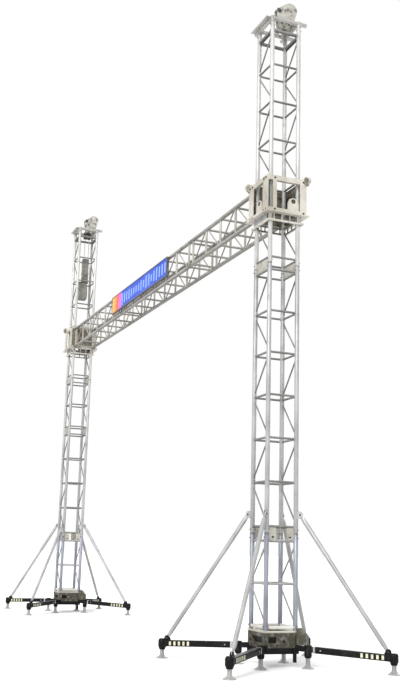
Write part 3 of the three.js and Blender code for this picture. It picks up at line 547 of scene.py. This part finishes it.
def welded(shape, a, b, radius, material, sides=16):
    """A tube between two chord centres with a weld bead where it meets each chord."""
    a, b = Vector(a), Vector(b)
    axis = (b - a).normalized()
    shape.tube(a, b, radius, material, sides, caps=False)
    for centre, way in ((a, axis), (b, -axis)):
        start = centre + way * (CHORD - 0.002)
        end = start + way * 0.009
        shape.tube(start, end, radius + 0.005, weld_metal, sides, radius_b=radius + 0.0005, caps=False)


def truss(shape, length, levels, chord, rung, foot_radius=None, head_radius=None, seams=(), foot_ring=None,
          rung_radius=0.0125):
    """Round chords, rings and zigzag diagonals of a box-truss section that stands on the origin."""
    edge, pin_height, pin_reach = 0.0012, 0.042, 0.033
    least_bay, diagonal_end, diagonal_radius = 0.24, 0.03, 0.009
    corners = list(CORNERS.values())
    for corner in corners:
        shape.lathe(on_chord(corner, 0), [
            (CHORD - CHORD_WALL, 0.0), (CHORD - edge, 0.0), (CHORD, 0.0015), (CHORD, length - 0.0018),
            (CHORD - edge, length - GAP), (CHORD - CHORD_WALL, length - GAP), (CHORD - CHORD_WALL, 0.0),
        ], chord, 28)
        for z in (pin_height, length - pin_height):
            near, far = (on_chord(corner, z) + Vector((0, side * pin_reach, 0)) for side in (-1, 1))
            shape.tube(near, far, 0.006, steel, 10)
        for z, side in product((0.0, length, *seams), (-1, 1)):
            near, far = (on_chord(corner, z + side * step) for step in (0.0035, 0.0095))
            shape.tube(near, far, CHORD + 0.0006, weld_metal, 28)
    last = len(levels) - 1
    for number, z in enumerate(levels):
        radius = {0: foot_radius, last: head_radius}.get(number) or rung_radius
        material = (foot_ring or rung) if number == 0 else rung
        for i, corner in enumerate(corners):
            welded(shape, on_chord(corner, z), on_chord(corners[(i + 1) % 4], z), radius, material)
    bays = [(a, b) for a, b in zip(levels, levels[1:]) if b - a > least_bay]
    for number, (low, high) in enumerate(bays):
        side = 1 if number % 2 == 0 else -1
        for y in (-1, 1):
            foot, head = on_chord((side, y), low + diagonal_end), on_chord((-side, y), high - diagonal_end)
            welded(shape, foot, head, diagonal_radius, rung, 12)


def side_plates(shape, low, high, material, thickness=0.005):
    for y in (-HALF, HALF):
        shape.box((-HALF + 0.02, y - thickness / 2, low), (HALF - 0.02, y + thickness / 2, high), material)


def hinge_plates(shape, low, high, drilled):
    """Thick plates beside each chord on the end faces; the lower ones carry the hinge pins."""
    thickness, middle = 0.01, (low + high) / 2
    for x, side in product((-HALF, HALF), (-1, 1)):
        inner, hole_y, outer = (side * (HALF - inset) for inset in (0.112, 0.0728, 0.005))
        outline = [(inner, low), (outer, low), (outer, high), (inner, high)]
        holes = [circle(hole_y, middle, 0.015)] if drilled else []
        shape.plate(outline if side > 0 else outline[::-1], holes, thickness, joint_plate, across_x(x))
        if drilled:
            pin = [(x + end * thickness, hole_y, middle) for end in (-1, 1)]
            shape.tube(*pin, 0.0105, steel, 16)


def strut_lugs(shape, height, material):
    root, shoulder, tip = 0.262, 0.306, 0.32
    outline = [(root, height - 0.042), (shoulder, height - 0.036), (tip, height - 0.016),
               (tip, height + 0.016), (shoulder, height + 0.036), (root, height + 0.042)]
    for corner in CORNERS.values():
        turned = towards(corner)
        for offset in (-EAR_MIDDLE, EAR_MIDDLE):
            shape.plate(outline, [], EAR_THICK, material, turned @ across_y(offset))
        for side in (-1, 1):
            at = turned @ Vector((STRUT_TOP[0], side * EAR_FACE, height))
            shape.bolt(at, turned.to_3x3() @ Vector((0, side, 0)), 0.008, steel)


def build_mast(side, x):
    plate = RING
    base = Shape()
    truss(base, 1.0, ring_heights(1.0, FOOT_RING), base_aluminium, lower_rung, foot_radius=0.019,
          foot_ring=bright_ring)
    hinge_plates(base, 1.0 - plate, 1.0 - GAP, True)
    base.moved(turn_z(x, 0, FOOT_Z))
    base.piece(f"{side}_base_section", "towers", [f"{side}_mast_base_section"], "shaded_aluminium")

    lower = Shape()
    if side == "left":
        levels, seams = ring_heights(2.0) + [2.0 + z for z in ring_heights(1.0)], (2.0,)
        side_plates(lower, 2.0 - plate, 2.0 + plate, joint_plate)
    else:
        levels, seams = ring_heights(3.0), ()
    truss(lower, 3.0, levels, lower_aluminium, rung_aluminium_painted_shade, seams=seams)
    side_plates(lower, 3.0 - plate, 3.0 - GAP, joint_plate)
    hinge_plates(lower, 0.0, plate, False)
    strut_lugs(lower, STRUT_TOP[1] - BASE_Z, lower_aluminium)
    lower.moved(turn_z(x, 0, BASE_Z))
    lower.piece(f"{side}_lower_section", "towers", [f"{side}_mast_lower_section"], "shaded_aluminium")

    upper, head_ring = Shape(), 3.0 - HEAD_RING
    levels = ring_heights(3.0)[:-1] + [head_ring]
    truss(upper, 3.0, levels, upper_aluminium, rung_aluminium_painted_shade, head_radius=0.021)
    side_plates(upper, 0.0, plate, joint_plate)
    side_plates(upper, head_ring - 0.043, head_ring, steel)
    upper.moved(turn_z(x, 0, MID_Z))
    upper.piece(f"{side}_upper_section", "towers", [f"{side}_mast_upper_section"], "aluminium")


def build_beam():
    start = -4.0
    for name, length in (("left", 3.0), ("middle", 3.0), ("right", 2.0)):
        shape = Shape()
        truss(shape, length, ring_heights(length), beam_aluminium, beam_rung, rung_radius=0.0145)
        shape.moved(Matrix.Translation((start + GAP / 2, 0, BEAM_Z)) @ Matrix.Rotation(math.pi / 2, 4, "Y"))
        shape.piece(f"beam_truss_{name}", "beam_carriage", [f"beam_section_{name}"], "aluminium")
        start += length


# Legs
ROOT_HEIGHT, TIP_HEIGHT = 0.2, 0.158
CORNER_REACH = HALF * math.sqrt(2)


def arm_height(reach):
    return ROOT_HEIGHT + (TIP_HEIGHT - ROOT_HEIGHT) * (reach - CORNER_REACH) / (FOOT_REACH - CORNER_REACH)


def rounded_square(half, radius, steps=4):
    points, flat = [], half - radius
    for cx, cy, start in ((1, 1, 0), (-1, 1, 90), (-1, -1, 180), (1, -1, 270)):
        for i in range(steps + 1):
            t = math.radians(start + 90 * i / steps)
            points.append((cx * flat + radius * math.cos(t), cy * flat + radius * math.sin(t)))
    return points


def along_arm(reach, profile):
    """A profile set square to +X, its middle on the arm's axis."""
    return [Vector((reach, u, arm_height(reach) + v)) for u, v in profile]


def sweep(shape, reaches, profile, material, cap_start=False):
    count = len(profile)
    points = [point for reach in reaches for point in along_arm(reach, profile)]
    faces = bands(len(reaches), count, flip=True)
    if cap_start:
        faces.append(list(range(count)))
    shape.put(points, faces, material)


def outrigger():
    """Square tube that slides over the arm, with a round jack housing, hazard blocks and the strut's ears."""
    shape = Shape()
    half, rim_length, bore_end, pin_reach = 0.033, 0.004, 1.233, 0.53
    outer, inner = rounded_square(half, 0.007), rounded_square(0.0283, 0.003)
    sweep(shape, [TUBE_START, TUBE_START + rim_length], outer, black)
    sweep(shape, [TUBE_START + rim_length, TUBE_END], outer, black)
    sweep(shape, [bore_end, TUBE_START], inner, black, cap_start=True)
    shape.put(along_arm(TUBE_START, outer) + along_arm(TUBE_START, inner), bands(2, len(outer)), black)
    for middle, side in product((0.962, 1.016, 1.07, 1.124, 1.178), (-1, 1)):
        z = arm_height(middle)
        low, high = sorted((side * half, side * (half + 0.0006)))
        shape.box((middle - 0.0125, low, z - 0.021), (middle + 0.0125, high, z + 0.021), hazard)
    pin = [(pin_reach, side * 0.04, arm_height(pin_reach)) for side in (-1, 1)]
    shape.tube(*pin, 0.007, zinc, 16)
    housing_floor, housing = 0.105, (FOOT_REACH, 0, 0)
    shape.lathe(housing, [
        (SCREW_BORE, housing_floor), (0.0355, housing_floor), (0.037, 0.107), (0.0445, 0.123), (0.046, 0.127),
        (0.046, 0.184), (0.0445, 0.19), (0.036, 0.205), (0.032, 0.208), (0.0, 0.208),
    ], black, 40)
    shape.lathe(housing, [(SCREW_BORE, housing_floor), (SCREW_BORE, 0.2015), (0.0, 0.2015)], black, 40)
    ear = [(1.19, 0.186), (1.258, 0.18), (1.258, 0.222), (1.252, 0.236), (1.238, 0.246), (1.22, 0.246),
           (1.206, 0.236), (1.19, 0.205)]
    for offset in (-EAR_MIDDLE, EAR_MIDDLE):
        shape.plate(ear, [], EAR_THICK, black, across_y(offset))
    for side in (-1, 1):
        shape.bolt((STRUT_FOOT[0], side * EAR_FACE, STRUT_FOOT[1]), (0, side, 0), 0.009, steel)
    return shape


def strut():
    """Round tube flattened to a tongue at each end."""
    foot, top = (Vector((reach, 0, height)) for reach, height in (STRUT_FOOT, STRUT_TOP))
    along, length = (top - foot).normalized(), (top - foot).length
    side = Vector((0, 1, 0))
    up = along.cross(side)
    sides, flat, full = 28, (0.006, 0.02, 0.5), (0.024, 0.024, 1.0)
    stations = [
        (-0.01, flat, 0.55), (-0.004, flat, 0.88), (0.004, flat, 1.0), (0.04, flat, 1.0),
        (0.085, full, 1.0), (length - 0.085, full, 1.0), (length - 0.04, flat, 1.0),
        (length - 0.004, flat, 1.0),
        (length + 0.004, flat, 0.88), (length + 0.01, flat, 0.55),
    ]
    points = []
    for distance, (thick, wide, power), scale in stations:
        for i in range(sides):
            u, v = bulged(math.tau * i / sides, power)
            points.append(foot + along * distance + side * u * thick + up * v * wide * scale)
    shape = Shape()
    shape.put(points, bands(len(stations), sides) + ends(len(stations), sides), strut_aluminium)
    return shape


def screw_jack(floor, top):
    """Dished foot with a ball seat, a screw with its thread as rings, and the collar under the housing."""
    shape = Shape()
    low, high = 0.027, floor - 0.0123
    shape.lathe((0, 0, 0), [
        (0.0, 0.0), (0.062, 0.0), (0.065, 0.002), (0.065, 0.006), (0.063, 0.0085), (0.056, 0.0105),
        (0.046, 0.0155), (0.038, 0.0225), (0.034, 0.0262), (0.0335, low), (0.0, low),
    ], zinc, 48)
    shape.lathe((0, 0, 0), [
        (0.0, low), (0.0275, low), (0.0285, low + 0.003), (0.0275, low + 0.01), (0.0, low + 0.011),
    ], zinc, 32)
    turns = max(1, int((high - low) / 0.006))
    pitch = (high - low) / turns
    thread = [(0.0, low)]
    for i in range(turns):
        rise = ((SCREW_ROOT, 0), (SCREW, 0.3), (SCREW, 0.6), (SCREW_ROOT, 0.9))
        thread += [(radius, low + i * pitch + pitch * share) for radius, share in rise]
    thread += [(SCREW, high), (SCREW, top), (0.0, top)]
    shape.lathe((0, 0, 0), thread, zinc, 28)
    shape.lathe((0, 0, 0), [
        (SCREW, high), (0.033, high), (0.035, high + 0.002), (0.035, high + 0.01), (0.033, high + 0.012),
        (SCREW, high + 0.012),
    ], black, 36)
    return shape


def build_legs(side, x):
    arm_shape, strut_shape = outrigger(), strut()
    tip_jack, base_jack = screw_jack(0.105, 0.2), screw_jack(0.119, 0.225)
    for corner, (cx, cy) in CORNERS.items():
        for shape, name, body, node, slot, reach in (
            (arm_shape, "leg", "towers", "outrigger", "black_steel", 0.0),
            (strut_shape, "brace", "towers", "strut", "aluminium", 0.0),
            (tip_jack, "tip_jack", f"{side}_jack_{corner}", "outrigger_jack", "galvanised_steel", FOOT_REACH),
            (base_jack, "inner_jack", f"{side}_base_jack_{SHORT[corner]}", "base_jack", "galvanised_steel",
             BASE_JACK_REACH),
        ):
            out = reach * DIAG
            copy = shape.copied().moved(Matrix.Translation((x + cx * out, cy * out, 0)) @ towards((cx, cy)))
            copy.piece(f"{side}_{name}_{corner}", body, [f"{side}_{node}_{corner}"], slot)


# Base, sleeve and head
def dress_cad(node, material, bevel=0.0015):
    """A CAD node whose shape is right: planar faces are merged, edges softened, and it gets its finish."""
    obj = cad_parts[node]
    obj.data.materials.clear()
    obj.data.materials.append(material)
    weld = obj.modifiers.new("weld", "WELD")
    weld.merge_threshold = 0.00002
    planar = obj.modifiers.new("planar", "DECIMATE")
    planar.decimate_type = "DISSOLVE"
    planar.angle_limit = math.radians(0.5)
    soften(obj, bevel, False)


def collar_ring(shape, turned, start, end):
    """A grey stop collar round the inner arm, where the outrigger tube begins."""
    outer, inner = rounded_square(0.0325, 0.008), rounded_square(0.028, 0.004)
    points = []
    for reach, profile in ((start, inner), (start + 0.004, outer), (end, outer), (end, inner)):
        points += [turned @ point for point in along_arm(reach, profile)]
    shape.put(points, bands(4, len(outer), flip=True), zinc)


def build_base(side, x):
    dress_cad(f"{side}_base_cross", black)
    dress_cad(f"{side}_base_frame", base_plate)
    detail = Shape()
    floor, collar_start, collar_end = 0.119, 0.448, 0.47
    for cx, cy in CORNERS.values():
        out = BASE_JACK_REACH * DIAG
        detail.lathe((cx * out, cy * out, 0), [
            (SCREW_BORE, floor), (0.0375, floor), (0.0395, 0.122), (0.0395, 0.15), (0.0375, 0.153),
            (0.0375, 0.23), (0.036, 0.2353), (0.0, 0.2353),
        ], black, 36)
        collar_ring(detail, towards((cx, cy)), collar_start, collar_end)
    wall, bolt_height = 0.2002, 0.2255
    for place, end in product((-0.12, -0.04, 0.04, 0.12), (-1, 1)):
        detail.bolt((end * wall, place, bolt_height), (end, 0, 0), 0.008, steel)
        detail.bolt((place, end * wall, bolt_height), (0, end, 0), 0.008, steel)
    # Black sheets just inside the frame's windows: painted shade, so that the openings look dark.
    shade_sheet, half, bottom, top = 0.186, 0.15, 0.2505, 0.3105
    for end in (-1, 1):
        low, high = sorted((end * shade_sheet, end * (shade_sheet + 0.003)))
        detail.box((low, -half, bottom), (high, half, top), black)
        detail.box((-half, low, bottom), (half, high, top), black)
    detail.moved(turn_z(x, 0)).piece(f"{side}_base_fittings", "towers", (), "black_steel")


def build_sleeve(side, x):
    dress_cad(f"{side}_sleeve_block", cream_plate, 0.0018)
    detail = Shape()
    # Bolt rows along both rails
    face = RAIL_FACE + 0.0002
    for z, end in product((-0.179, 0.202), (-1, 1)):
        for across in (-0.21, -0.15, 0.15, 0.21):
            detail.bolt((across, end * face, z), (0, end, 0), 0.009, steel)
        for y in (-0.157, 0.21):
            detail.bolt((end * face, y, z), (end, 0, 0), 0.009, steel)
    # Gusset ribs in the corners of the bottom flange
    for corner in CORNERS.values():
        detail.box((0.345, -0.004, -0.2008), (0.372, 0.004, -0.165), cream_plate, towards(corner))
    # Face of the guide skirt
    detail.box((-0.1495, -0.223, -0.2795), (0.1495, -0.2221, -0.2012), skirt_grey)
    detail.moved(turn_z(x, 0, BEAM_Z)).piece(f"{side}_sleeve_fittings", "beam_carriage", (), "aluminium")


def corner_wheel():
    """Moulded tyre on a steel hub, about Z before it is turned."""
    shape = Shape()
    half, radius, hub, bore = 0.017, 0.05, 0.028, 0.0082
    side = [(hub, 0.002), (radius - 0.01, 0.0), (radius - 0.004, 0.001), (radius - 0.0005, 0.005),
            (radius, 0.008)]
    tyre = [(r, step - half) for r, step in side] + [(r, half - step) for r, step in side[::-1]]
    shape.lathe((0, 0, 0), tyre, pale_tyre, 48)
    face, dish = half - 0.0002, half - 0.004
    for end in (-1, 1):
        shape.lathe((0, 0, 0), [
            (bore, end * face), (0.0125, end * face), (0.0135, end * dish), (hub, end * dish),
            (hub, end * (half - 0.002)),
        ], steel, 40)
    shape.lathe((0, 0, 0), [(bore, -face), (bore, face)], steel, 40)
    return shape


def build_wheels(side, x):
    for corner, body in (("front_left", "front"), ("rear_right", "rear")):
        cx, cy = CORNERS[corner]
        place = Matrix.Translation((x + cx * RAIL_FACE, cy * RAIL_FACE, BEAM_Z + WHEEL_RISE))
        wheel = corner_wheel().moved(place @ towards((cx, cy)) @ Matrix.Rotation(math.pi / 2, 4, "X"))
        node = f"{side}_corner_wheel_{corner}"
        wheel.piece(f"{side}_{body}_wheel_tyre", f"{side}_{body}_wheel", [node], "pale_rubber")


def head_tubes(shape, z):
    """Four tubes that cross at the corners, each closed at one end and open with a dark plug at the other."""
    length, near, far = 0.475, -0.275, 0.275
    plug = [(0.021, 0.0), (0.021, 0.06), (0.0, 0.06)]
    for across in (-HALF, HALF):
        shape.lathe((near, across, z), [
            (0.021, 0.0), (0.0242, 0.0), (0.025, 0.001), (0.025, length - 0.0005), (0.024, length),
            (0.0, length),
        ], head_aluminium, 28, (1, 0, 0))
        shape.lathe((near, across, z), plug, steel, 28, (1, 0, 0))
        shape.lathe((across, far - length, z), [
            (0.0, 0.0), (0.024, 0.0), (0.025, 0.001), (0.025, length - 0.001), (0.0242, length),
            (0.021, length),
        ], head_aluminium, 28, (0, 1, 0))
        shape.lathe((across, far, z), [(r, -depth) for r, depth in plug], steel, 28, (0, 1, 0))


def build_head(side, x):
    """Welded head frame of round tubes, with a flat plate along the front and the leaning sheave cheeks."""
    shape = Shape()
    z, bearers, cross_z, cheek = 0.048, (0.02, 0.112), 0.104, 0.037
    for corner in CORNERS.values():
        foot = Vector((corner[0] * HALF, corner[1] * HALF, GAP))
        shape.tube(foot, (foot.x, foot.y, z), CHORD, head_aluminium, 28)
    head_tubes(shape, z)
    shape.box((-0.275, -0.25, 0.057), (0.16, -0.185, 0.069), head_aluminium)
    shape.box((-0.2745, -0.2495, 0.049), (0.1595, -0.2455, 0.058), head_aluminium)
    for y in bearers:
        shape.box((-HALF, y - 0.018, z - 0.025), (HALF, y + 0.018, z), cheek_plate)
        shape.box((-HALF, y - 0.0145, z), (HALF, y - 0.0125, z + 0.0008), weld_metal)
    rounding = [math.pi * i / 16 for i in range(13)]
    arc = [(SHEAVE_Y + 0.092 * math.cos(t), SHEAVE_Z + 0.092 * math.sin(t)) for t in rounding]
    outline = [(-0.016, 0.0236), (0.148, 0.0236), *arc, (-0.015, 0.305), (-0.04, 0.297), (-0.055, DRUM_Z)]
    for cheek_x in (-0.032, 0.032):
        holes = [circle(y, cross_z, 0.01) for y in bearers]
        shape.plate(outline, holes, 0.01, cheek_plate, across_x(cheek_x), 0.002)
    bolts = (
        (SHEAVE_Y, SHEAVE_Z, 0.014), (0.2095, SHEAVE_Z, 0.007), (0.045, 0.17, 0.007), (0.13, 0.17, 0.007),
    )
    for end, (y, rise, radius) in product((-1, 1), bolts):
        shape.bolt((end * cheek, y, rise), (end, 0, 0), radius, zinc, 0.006)

    def cross_tube(half, y, rise, radius, material, sides):
        shape.tube((-half, y, rise), (half, y, rise), radius, material, sides)

    cross_tube(cheek, SHEAVE_Y, SHEAVE_Z, 0.012, zinc, 24)
    # Dark steel spacers through the bearer holes; their dark colour is partly painted shade, put there so
    # that the holes look dark.
    for y in bearers:
        cross_tube(cheek + 0.0006, y, cross_z, 0.016, steel, 24)
    for end in (-1, 1):
        cap = [(end * reach, DRUM_Y, DRUM_Z) for reach in (cheek + 0.0002, cheek + 0.003)]
        shape.tube(*cap, 0.026, steel, 28)
    cross_tube(0.027, 0.2095, SHEAVE_Z, 0.007, zinc, 16)
    cross_tube(0.027, DRUM_Y, DRUM_Z, 0.028, steel, 32)
    shape.moved(turn_z(x, 0, TOP_Z)).piece(f"{side}_head_frame", "towers", [f"{side}_head"], "aluminium")
    build_sheave(side, x)


def build_sheave(side, x):
    """Grooved disc with a hub, and five thin dark discs on each side of its web as painted shade where holes
    would look dark.
    """
    wheel, half = Shape(), 0.024
    near = [(0.0135, -half), (0.022, -half), (0.023, -0.018), (0.048, -0.018), (0.05, -half),
            (0.0645, -half), (0.066, -0.022), (0.066, -0.018), (0.0545, -0.006)]
    far = [(0.0545, 0.006), (0.066, 0.018), (0.066, 0.022), (0.0645, half), (0.05, half), (0.048, 0.018),
           (0.023, 0.018), (0.022, half), (0.0135, half), (0.0135, -half)]
    wheel.lathe((x, SHEAVE_Y, TOP_Z + SHEAVE_Z), [*near, (0.054, 0.0), *far], zinc, 48, (1, 0, 0))
    # Thin dark discs on the web: painted shade in place of holes.
    for (y, z), end in product(circle(SHEAVE_Y, TOP_Z + SHEAVE_Z, 0.036, 5), (-1, 1)):
        wheel.tube((x + end * 0.0178, y, z), (x + end * 0.0184, y, z), 0.008, steel, 16)
    wheel.piece(f"{side}_sheave_disc", f"{side}_sheave", [f"{side}_head_sheave"], "galvanised_steel")


# Sign and hoist
def build_sign():
    shape = Shape()
    half_x, half_z = SIGN_LENGTH / 2, SIGN_HEIGHT / 2
    front, back, rim = -0.2408, -0.2008, 0.014

    def panel(inset, near, far, material):
        low, high = (inset - half_x, near, inset - half_z), (half_x - inset, far, half_z - inset)
        shape.box(low, high, material)

    panel(0.004, front + 0.009, back, sign_frame)
    for end in (-1, 1):
        low, high = sorted((end * half_z, end * (half_z - rim)))
        shape.box((-half_x, front, low), (half_x, back - 0.002, high), sign_frame)
        low, high = sorted((end * half_x, end * (half_x - rim)))
        shape.box((low, front, rim - half_z), (high, back - 0.002, half_z - rim), sign_frame)
    panel(rim - 0.0005, front + 0.006, front + 0.008, sign_picture)
    for along in (-0.99, -0.33, 0.33, 0.99):
        shape.bolt((along, back - 0.0005, half_z - 0.03), (0, 1, 0), 0.006, zinc, 0.003)
    shape.moved(Matrix.Translation((SIGN_X, 0, BEAM_Z + SIGN_RISE)))
    shape.piece("sign_panel", "beam_carriage", ["beam_sign"], "sign_face", bevel=0.0012)


LINK_PITCH, LINK_TALL = 0.0136, 0.019
FALL, HOOK_Y, IDLER_DROP = 0.04, 0.02, 0.095
HOIST_LOW, HOIST_HIGH = 6.345, 6.8417


def chain_link(shape, centre, angle):
    """One oval link, its long axis upright and its plane turned about Z."""
    wire, half, rows, ring = 0.0028, 0.0042, 20, 8
    straight = LINK_TALL / 2 - half
    points = []
    for i in range(rows):
        t = math.tau * i / rows
        c, s = math.cos(t), math.sin(t)
        middle = Vector((half * c, 0, half * s + math.copysign(straight, s)))
        out = Vector((c, 0, s))
        for k in range(ring):
            a = math.tau * k / ring
            points.append(middle + out * wire * math.cos(a) + Vector((0, 1, 0)) * wire * math.sin(a))
    matrix = Matrix.Translation(centre) @ Matrix.Rotation(angle, 4, "Z")
    shape.put([matrix @ p for p in points], bands(rows, ring, closed=True), zinc)


def build_hook_block(x, top):
    hook, cheek = Shape(), 0.031
    hook.box((-cheek, -0.07, top - 0.044), (cheek, 0.07, top), hoist_dark)
    outline = [(-0.066, top - 0.128), (0.066, top - 0.128), (0.07, top - 0.11), (0.07, top - 0.04),
               (-0.07, top - 0.04), (-0.07, top - 0.11)]
    for side in (-1, 1):
        hook.plate(outline, [], 0.008, hoist_dark, across_x(side * 0.027), 0.0015)
        hook.bolt((side * cheek, 0, top - IDLER_DROP), (side, 0, 0), 0.01, zinc, 0.005)
        for y in (-0.05, 0.05):
            hook.bolt((side * cheek, y, top - 0.022), (side, 0, 0), 0.006, zinc, 0.004)
    hook.lathe((-0.015, 0, top - IDLER_DROP), [
        (0.007, 0.0), (0.03, 0.0), (0.0325, 0.003), (0.0275, 0.015), (0.0325, 0.027), (0.03, 0.03),
        (0.007, 0.03),
    ], zinc, 40, (1, 0, 0))
    hook.moved(turn_z(x, HOOK_Y))
    hook.piece("hoist_top_block", "towers", ["hoist_hook_block"], "hoist_paint", bevel=0.0015)


def build_chain(x, idler_z):
    """Two falls of crossed links, joined by a half turn over the idler."""
    chain = Shape()
    for fall in (-FALL, FALL):
        z, turn = HOIST_HIGH + GAP, 0
        while z < idler_z:
            at = Vector((x, HOOK_Y + fall, z + LINK_TALL / 2))
            chain_link(chain, at, math.pi / 4 + turn * math.pi / 2)
            z += LINK_PITCH
            turn += 1
    for i in range(1, 10):
        t = math.pi * i / 10
        centre = Vector((x, HOOK_Y + FALL * math.cos(t), idler_z + FALL * math.sin(t)))
        start = len(chain.points)
        chain_link(chain, Vector((0, 0, 0)), (i % 2) * math.pi / 2)
        chain.moved(Matrix.Translation(centre) @ Matrix.Rotation(t, 4, "X"), start)
    chain.piece("hoist_load_chain", "towers", ["hoist_chain"], "chain_steel")


def build_hoist():
    x, top = -TOWER_X, TOP_Z + 0.023 - GAP
    build_hook_block(x, top)
    build_chain(x, top - IDLER_DROP)
    body, low, high = Shape(), HOIST_LOW, HOIST_HIGH
    for half_x, half_y, bottom, upper, paint in (
        (0.048, 0.06, low, low + 0.12, hoist_shell), (0.046, 0.058, low + 0.12, high - 0.11, hoist_grey),
        (0.048, 0.06, high - 0.11, high - 0.012, hoist_shell),
        (0.04, 0.056, high - 0.012, high, hoist_shell),
    ):
        body.box((-half_x, -half_y, bottom), (half_x, half_y, upper), paint)
    for i in range(9):
        z = low + 0.262 + i * 0.012
        body.box((-0.0478, -0.0598, z), (0.0478, 0.0598, z + 0.005), hoist_grey)
    motor = low + 0.19
    for end in (-1, 1):
        cover = [(0.0, 0.075), (0.046, 0.075), (0.056, 0.07), (0.062, 0.058), (0.062, 0.0)]
        body.lathe((0, 0, motor), [(r, end * reach) for r, reach in cover], hoist_shell, 40, (1, 0, 0))
        for y, z in circle(0.0, motor, 0.045, 6):
            body.bolt((end * 0.072, y, z), (end, 0, 0), 0.004, zinc, 0.003)
    body.moved(turn_z(x, 0.01)).piece("hoist_casing", "towers", ["hoist_body"], "hoist_grey", bevel=0.003)
    build_bag(x)


def build_bag(x):
    """Chain bag: a lofted cloth shell, hung from a rim frame, that bellies and folds towards its bottom."""
    low, high = 5.992, HOIST_LOW - GAP
    sides, rows, cloth = 64, 22, 0.003
    half_x, half_y = 0.075, 0.1

    def ring(share, inset):
        z = low + (high - low) * share
        belly = 0.9 + 0.1 * math.sin(math.pi * min(1.0, 0.15 + share * 0.95)) if share < 1 else 1.0
        if share < 0.12:
            belly *= 0.8 + 0.2 * math.sqrt(max(0.0, share / 0.12))
        points = []
        for i in range(sides):
            t = math.tau * i / sides
            u, v = bulged(t, 0.45)
            wide_fold = 0.035 * (1 - share) * (0.5 + 0.5 * math.sin(7 * t + 5 * share))
            fine_fold = 0.02 * (0.5 + 0.5 * math.sin(11 * t - 9 * share)) * (1 - share)
            fold, lift = belly * (1 - wide_fold - fine_fold), inset * (share < 0.01)
            points.append(((half_x - inset) * u * fold, (half_y - inset) * v * fold, z + lift))
        return points

    points = []
    for row in range(rows + 1):
        points += ring(row / rows, 0.0)
    for row in range(rows, -1, -1):
        points += ring(row / rows, cloth)
    total = 2 * (rows + 1)
    shape = Shape()
    shape.put(points, bands(total, sides) + ends(total, sides), canvas)
    rim_low, rim_high = high - 0.012, high - 0.001
    for y in (-0.097, 0.089):
        shape.box((-0.0745, y, rim_low), (0.0745, y + 0.008, rim_high), hoist_dark)
    for side in (-1, 1):
        middle = side * 0.0705
        shape.box((middle - 0.004, -0.097, rim_low), (middle + 0.004, 0.097, rim_high), hoist_dark)
    for y, (start, end) in product((-0.04, 0.04), ((-0.012, 0.072), (-0.072, -0.012))):
        shape.box((start, y - 0.01, high - 0.004), (end, y + 0.01, high), hoist_dark)
    shape.moved(turn_z(x, -0.03)).piece("hoist_bag", "towers", ["hoist_chain_bag"], "bag_fabric", smooth=60)


for side, x in TOWERS.items():
    build_mast(side, x)
    build_legs(side, x)
    build_base(side, x)
    build_sleeve(side, x)
    build_wheels(side, x)
    build_head(side, x)
build_beam()
build_sign()
build_hoist()


# Floor, light and camera
def build_floor():
    look = Look("studio_floor")
    color = look.ramp(look.noise(0.8, 4), (0.3, (0.83, 0.83, 0.83)), (0.7, (0.86, 0.86, 0.86)))
    look.give("Base Color", color)
    look.give("Roughness", 0.9)
    mesh = bpy.data.meshes.new("floor")
    reach = 400
    mesh.from_pydata([(-reach, -reach, 0), (reach, -reach, 0), (reach, reach, 0), (-reach, reach, 0)], [],
                     [[0, 1, 2, 3]])
    mesh.materials.append(look.material)
    floor = added("floor", mesh)
    floor.location.z = -0.001


def build_world():
    world = bpy.data.worlds.new("studio")
    bpy.context.scene.world = world
    world.use_nodes = True
    background = world.node_tree.nodes["Background"]
    background.inputs["Color"].default_value = (1.0, 1.0, 1.0, 1.0)
    background.inputs["Strength"].default_value = 1.0


def build_sun(name, way, strength, softness):
    data = bpy.data.lights.new(name, "SUN")
    data.energy = strength
    data.angle = math.radians(softness)
    added(name, data).rotation_euler = Vector(way).to_track_quat("-Z", "Y").to_euler()


def build_camera():
    """Stands near the right tower's front, looks up and left, and is a little rolled."""
    place, focal_pixels, picture_height, sensor = (13.71, -4.79, 1.16), 956.1, 695, 36
    yaw, pitch, roll = (math.radians(angle) for angle in (22.22, 12.05, 1.57))
    data = bpy.data.cameras.new("camera")
    data.lens = focal_pixels * sensor / picture_height
    data.clip_end = 500
    forward = Vector((-math.cos(yaw) * math.cos(pitch), math.sin(yaw) * math.cos(pitch), math.sin(pitch)))
    right = Vector((math.sin(yaw), math.cos(yaw), 0))
    up = right.cross(forward)
    rolled_right = right * math.cos(roll) + up * math.sin(roll)
    rolled_up = up * math.cos(roll) - right * math.sin(roll)
    rotation = Matrix((rolled_right, rolled_up, -forward)).transposed()
    camera = added("camera", data)
    camera.matrix_world = Matrix.Translation(place) @ rotation.to_4x4()
    bpy.context.scene.camera = camera


build_floor()
build_world()
build_sun("key", (-0.62, 0.66, -0.6), 3.0, 24)
build_sun("fill", (0.7, -0.55, -0.5), 0.9, 40)
build_camera()
bpy.context.scene.view_settings.view_transform = "Standard"
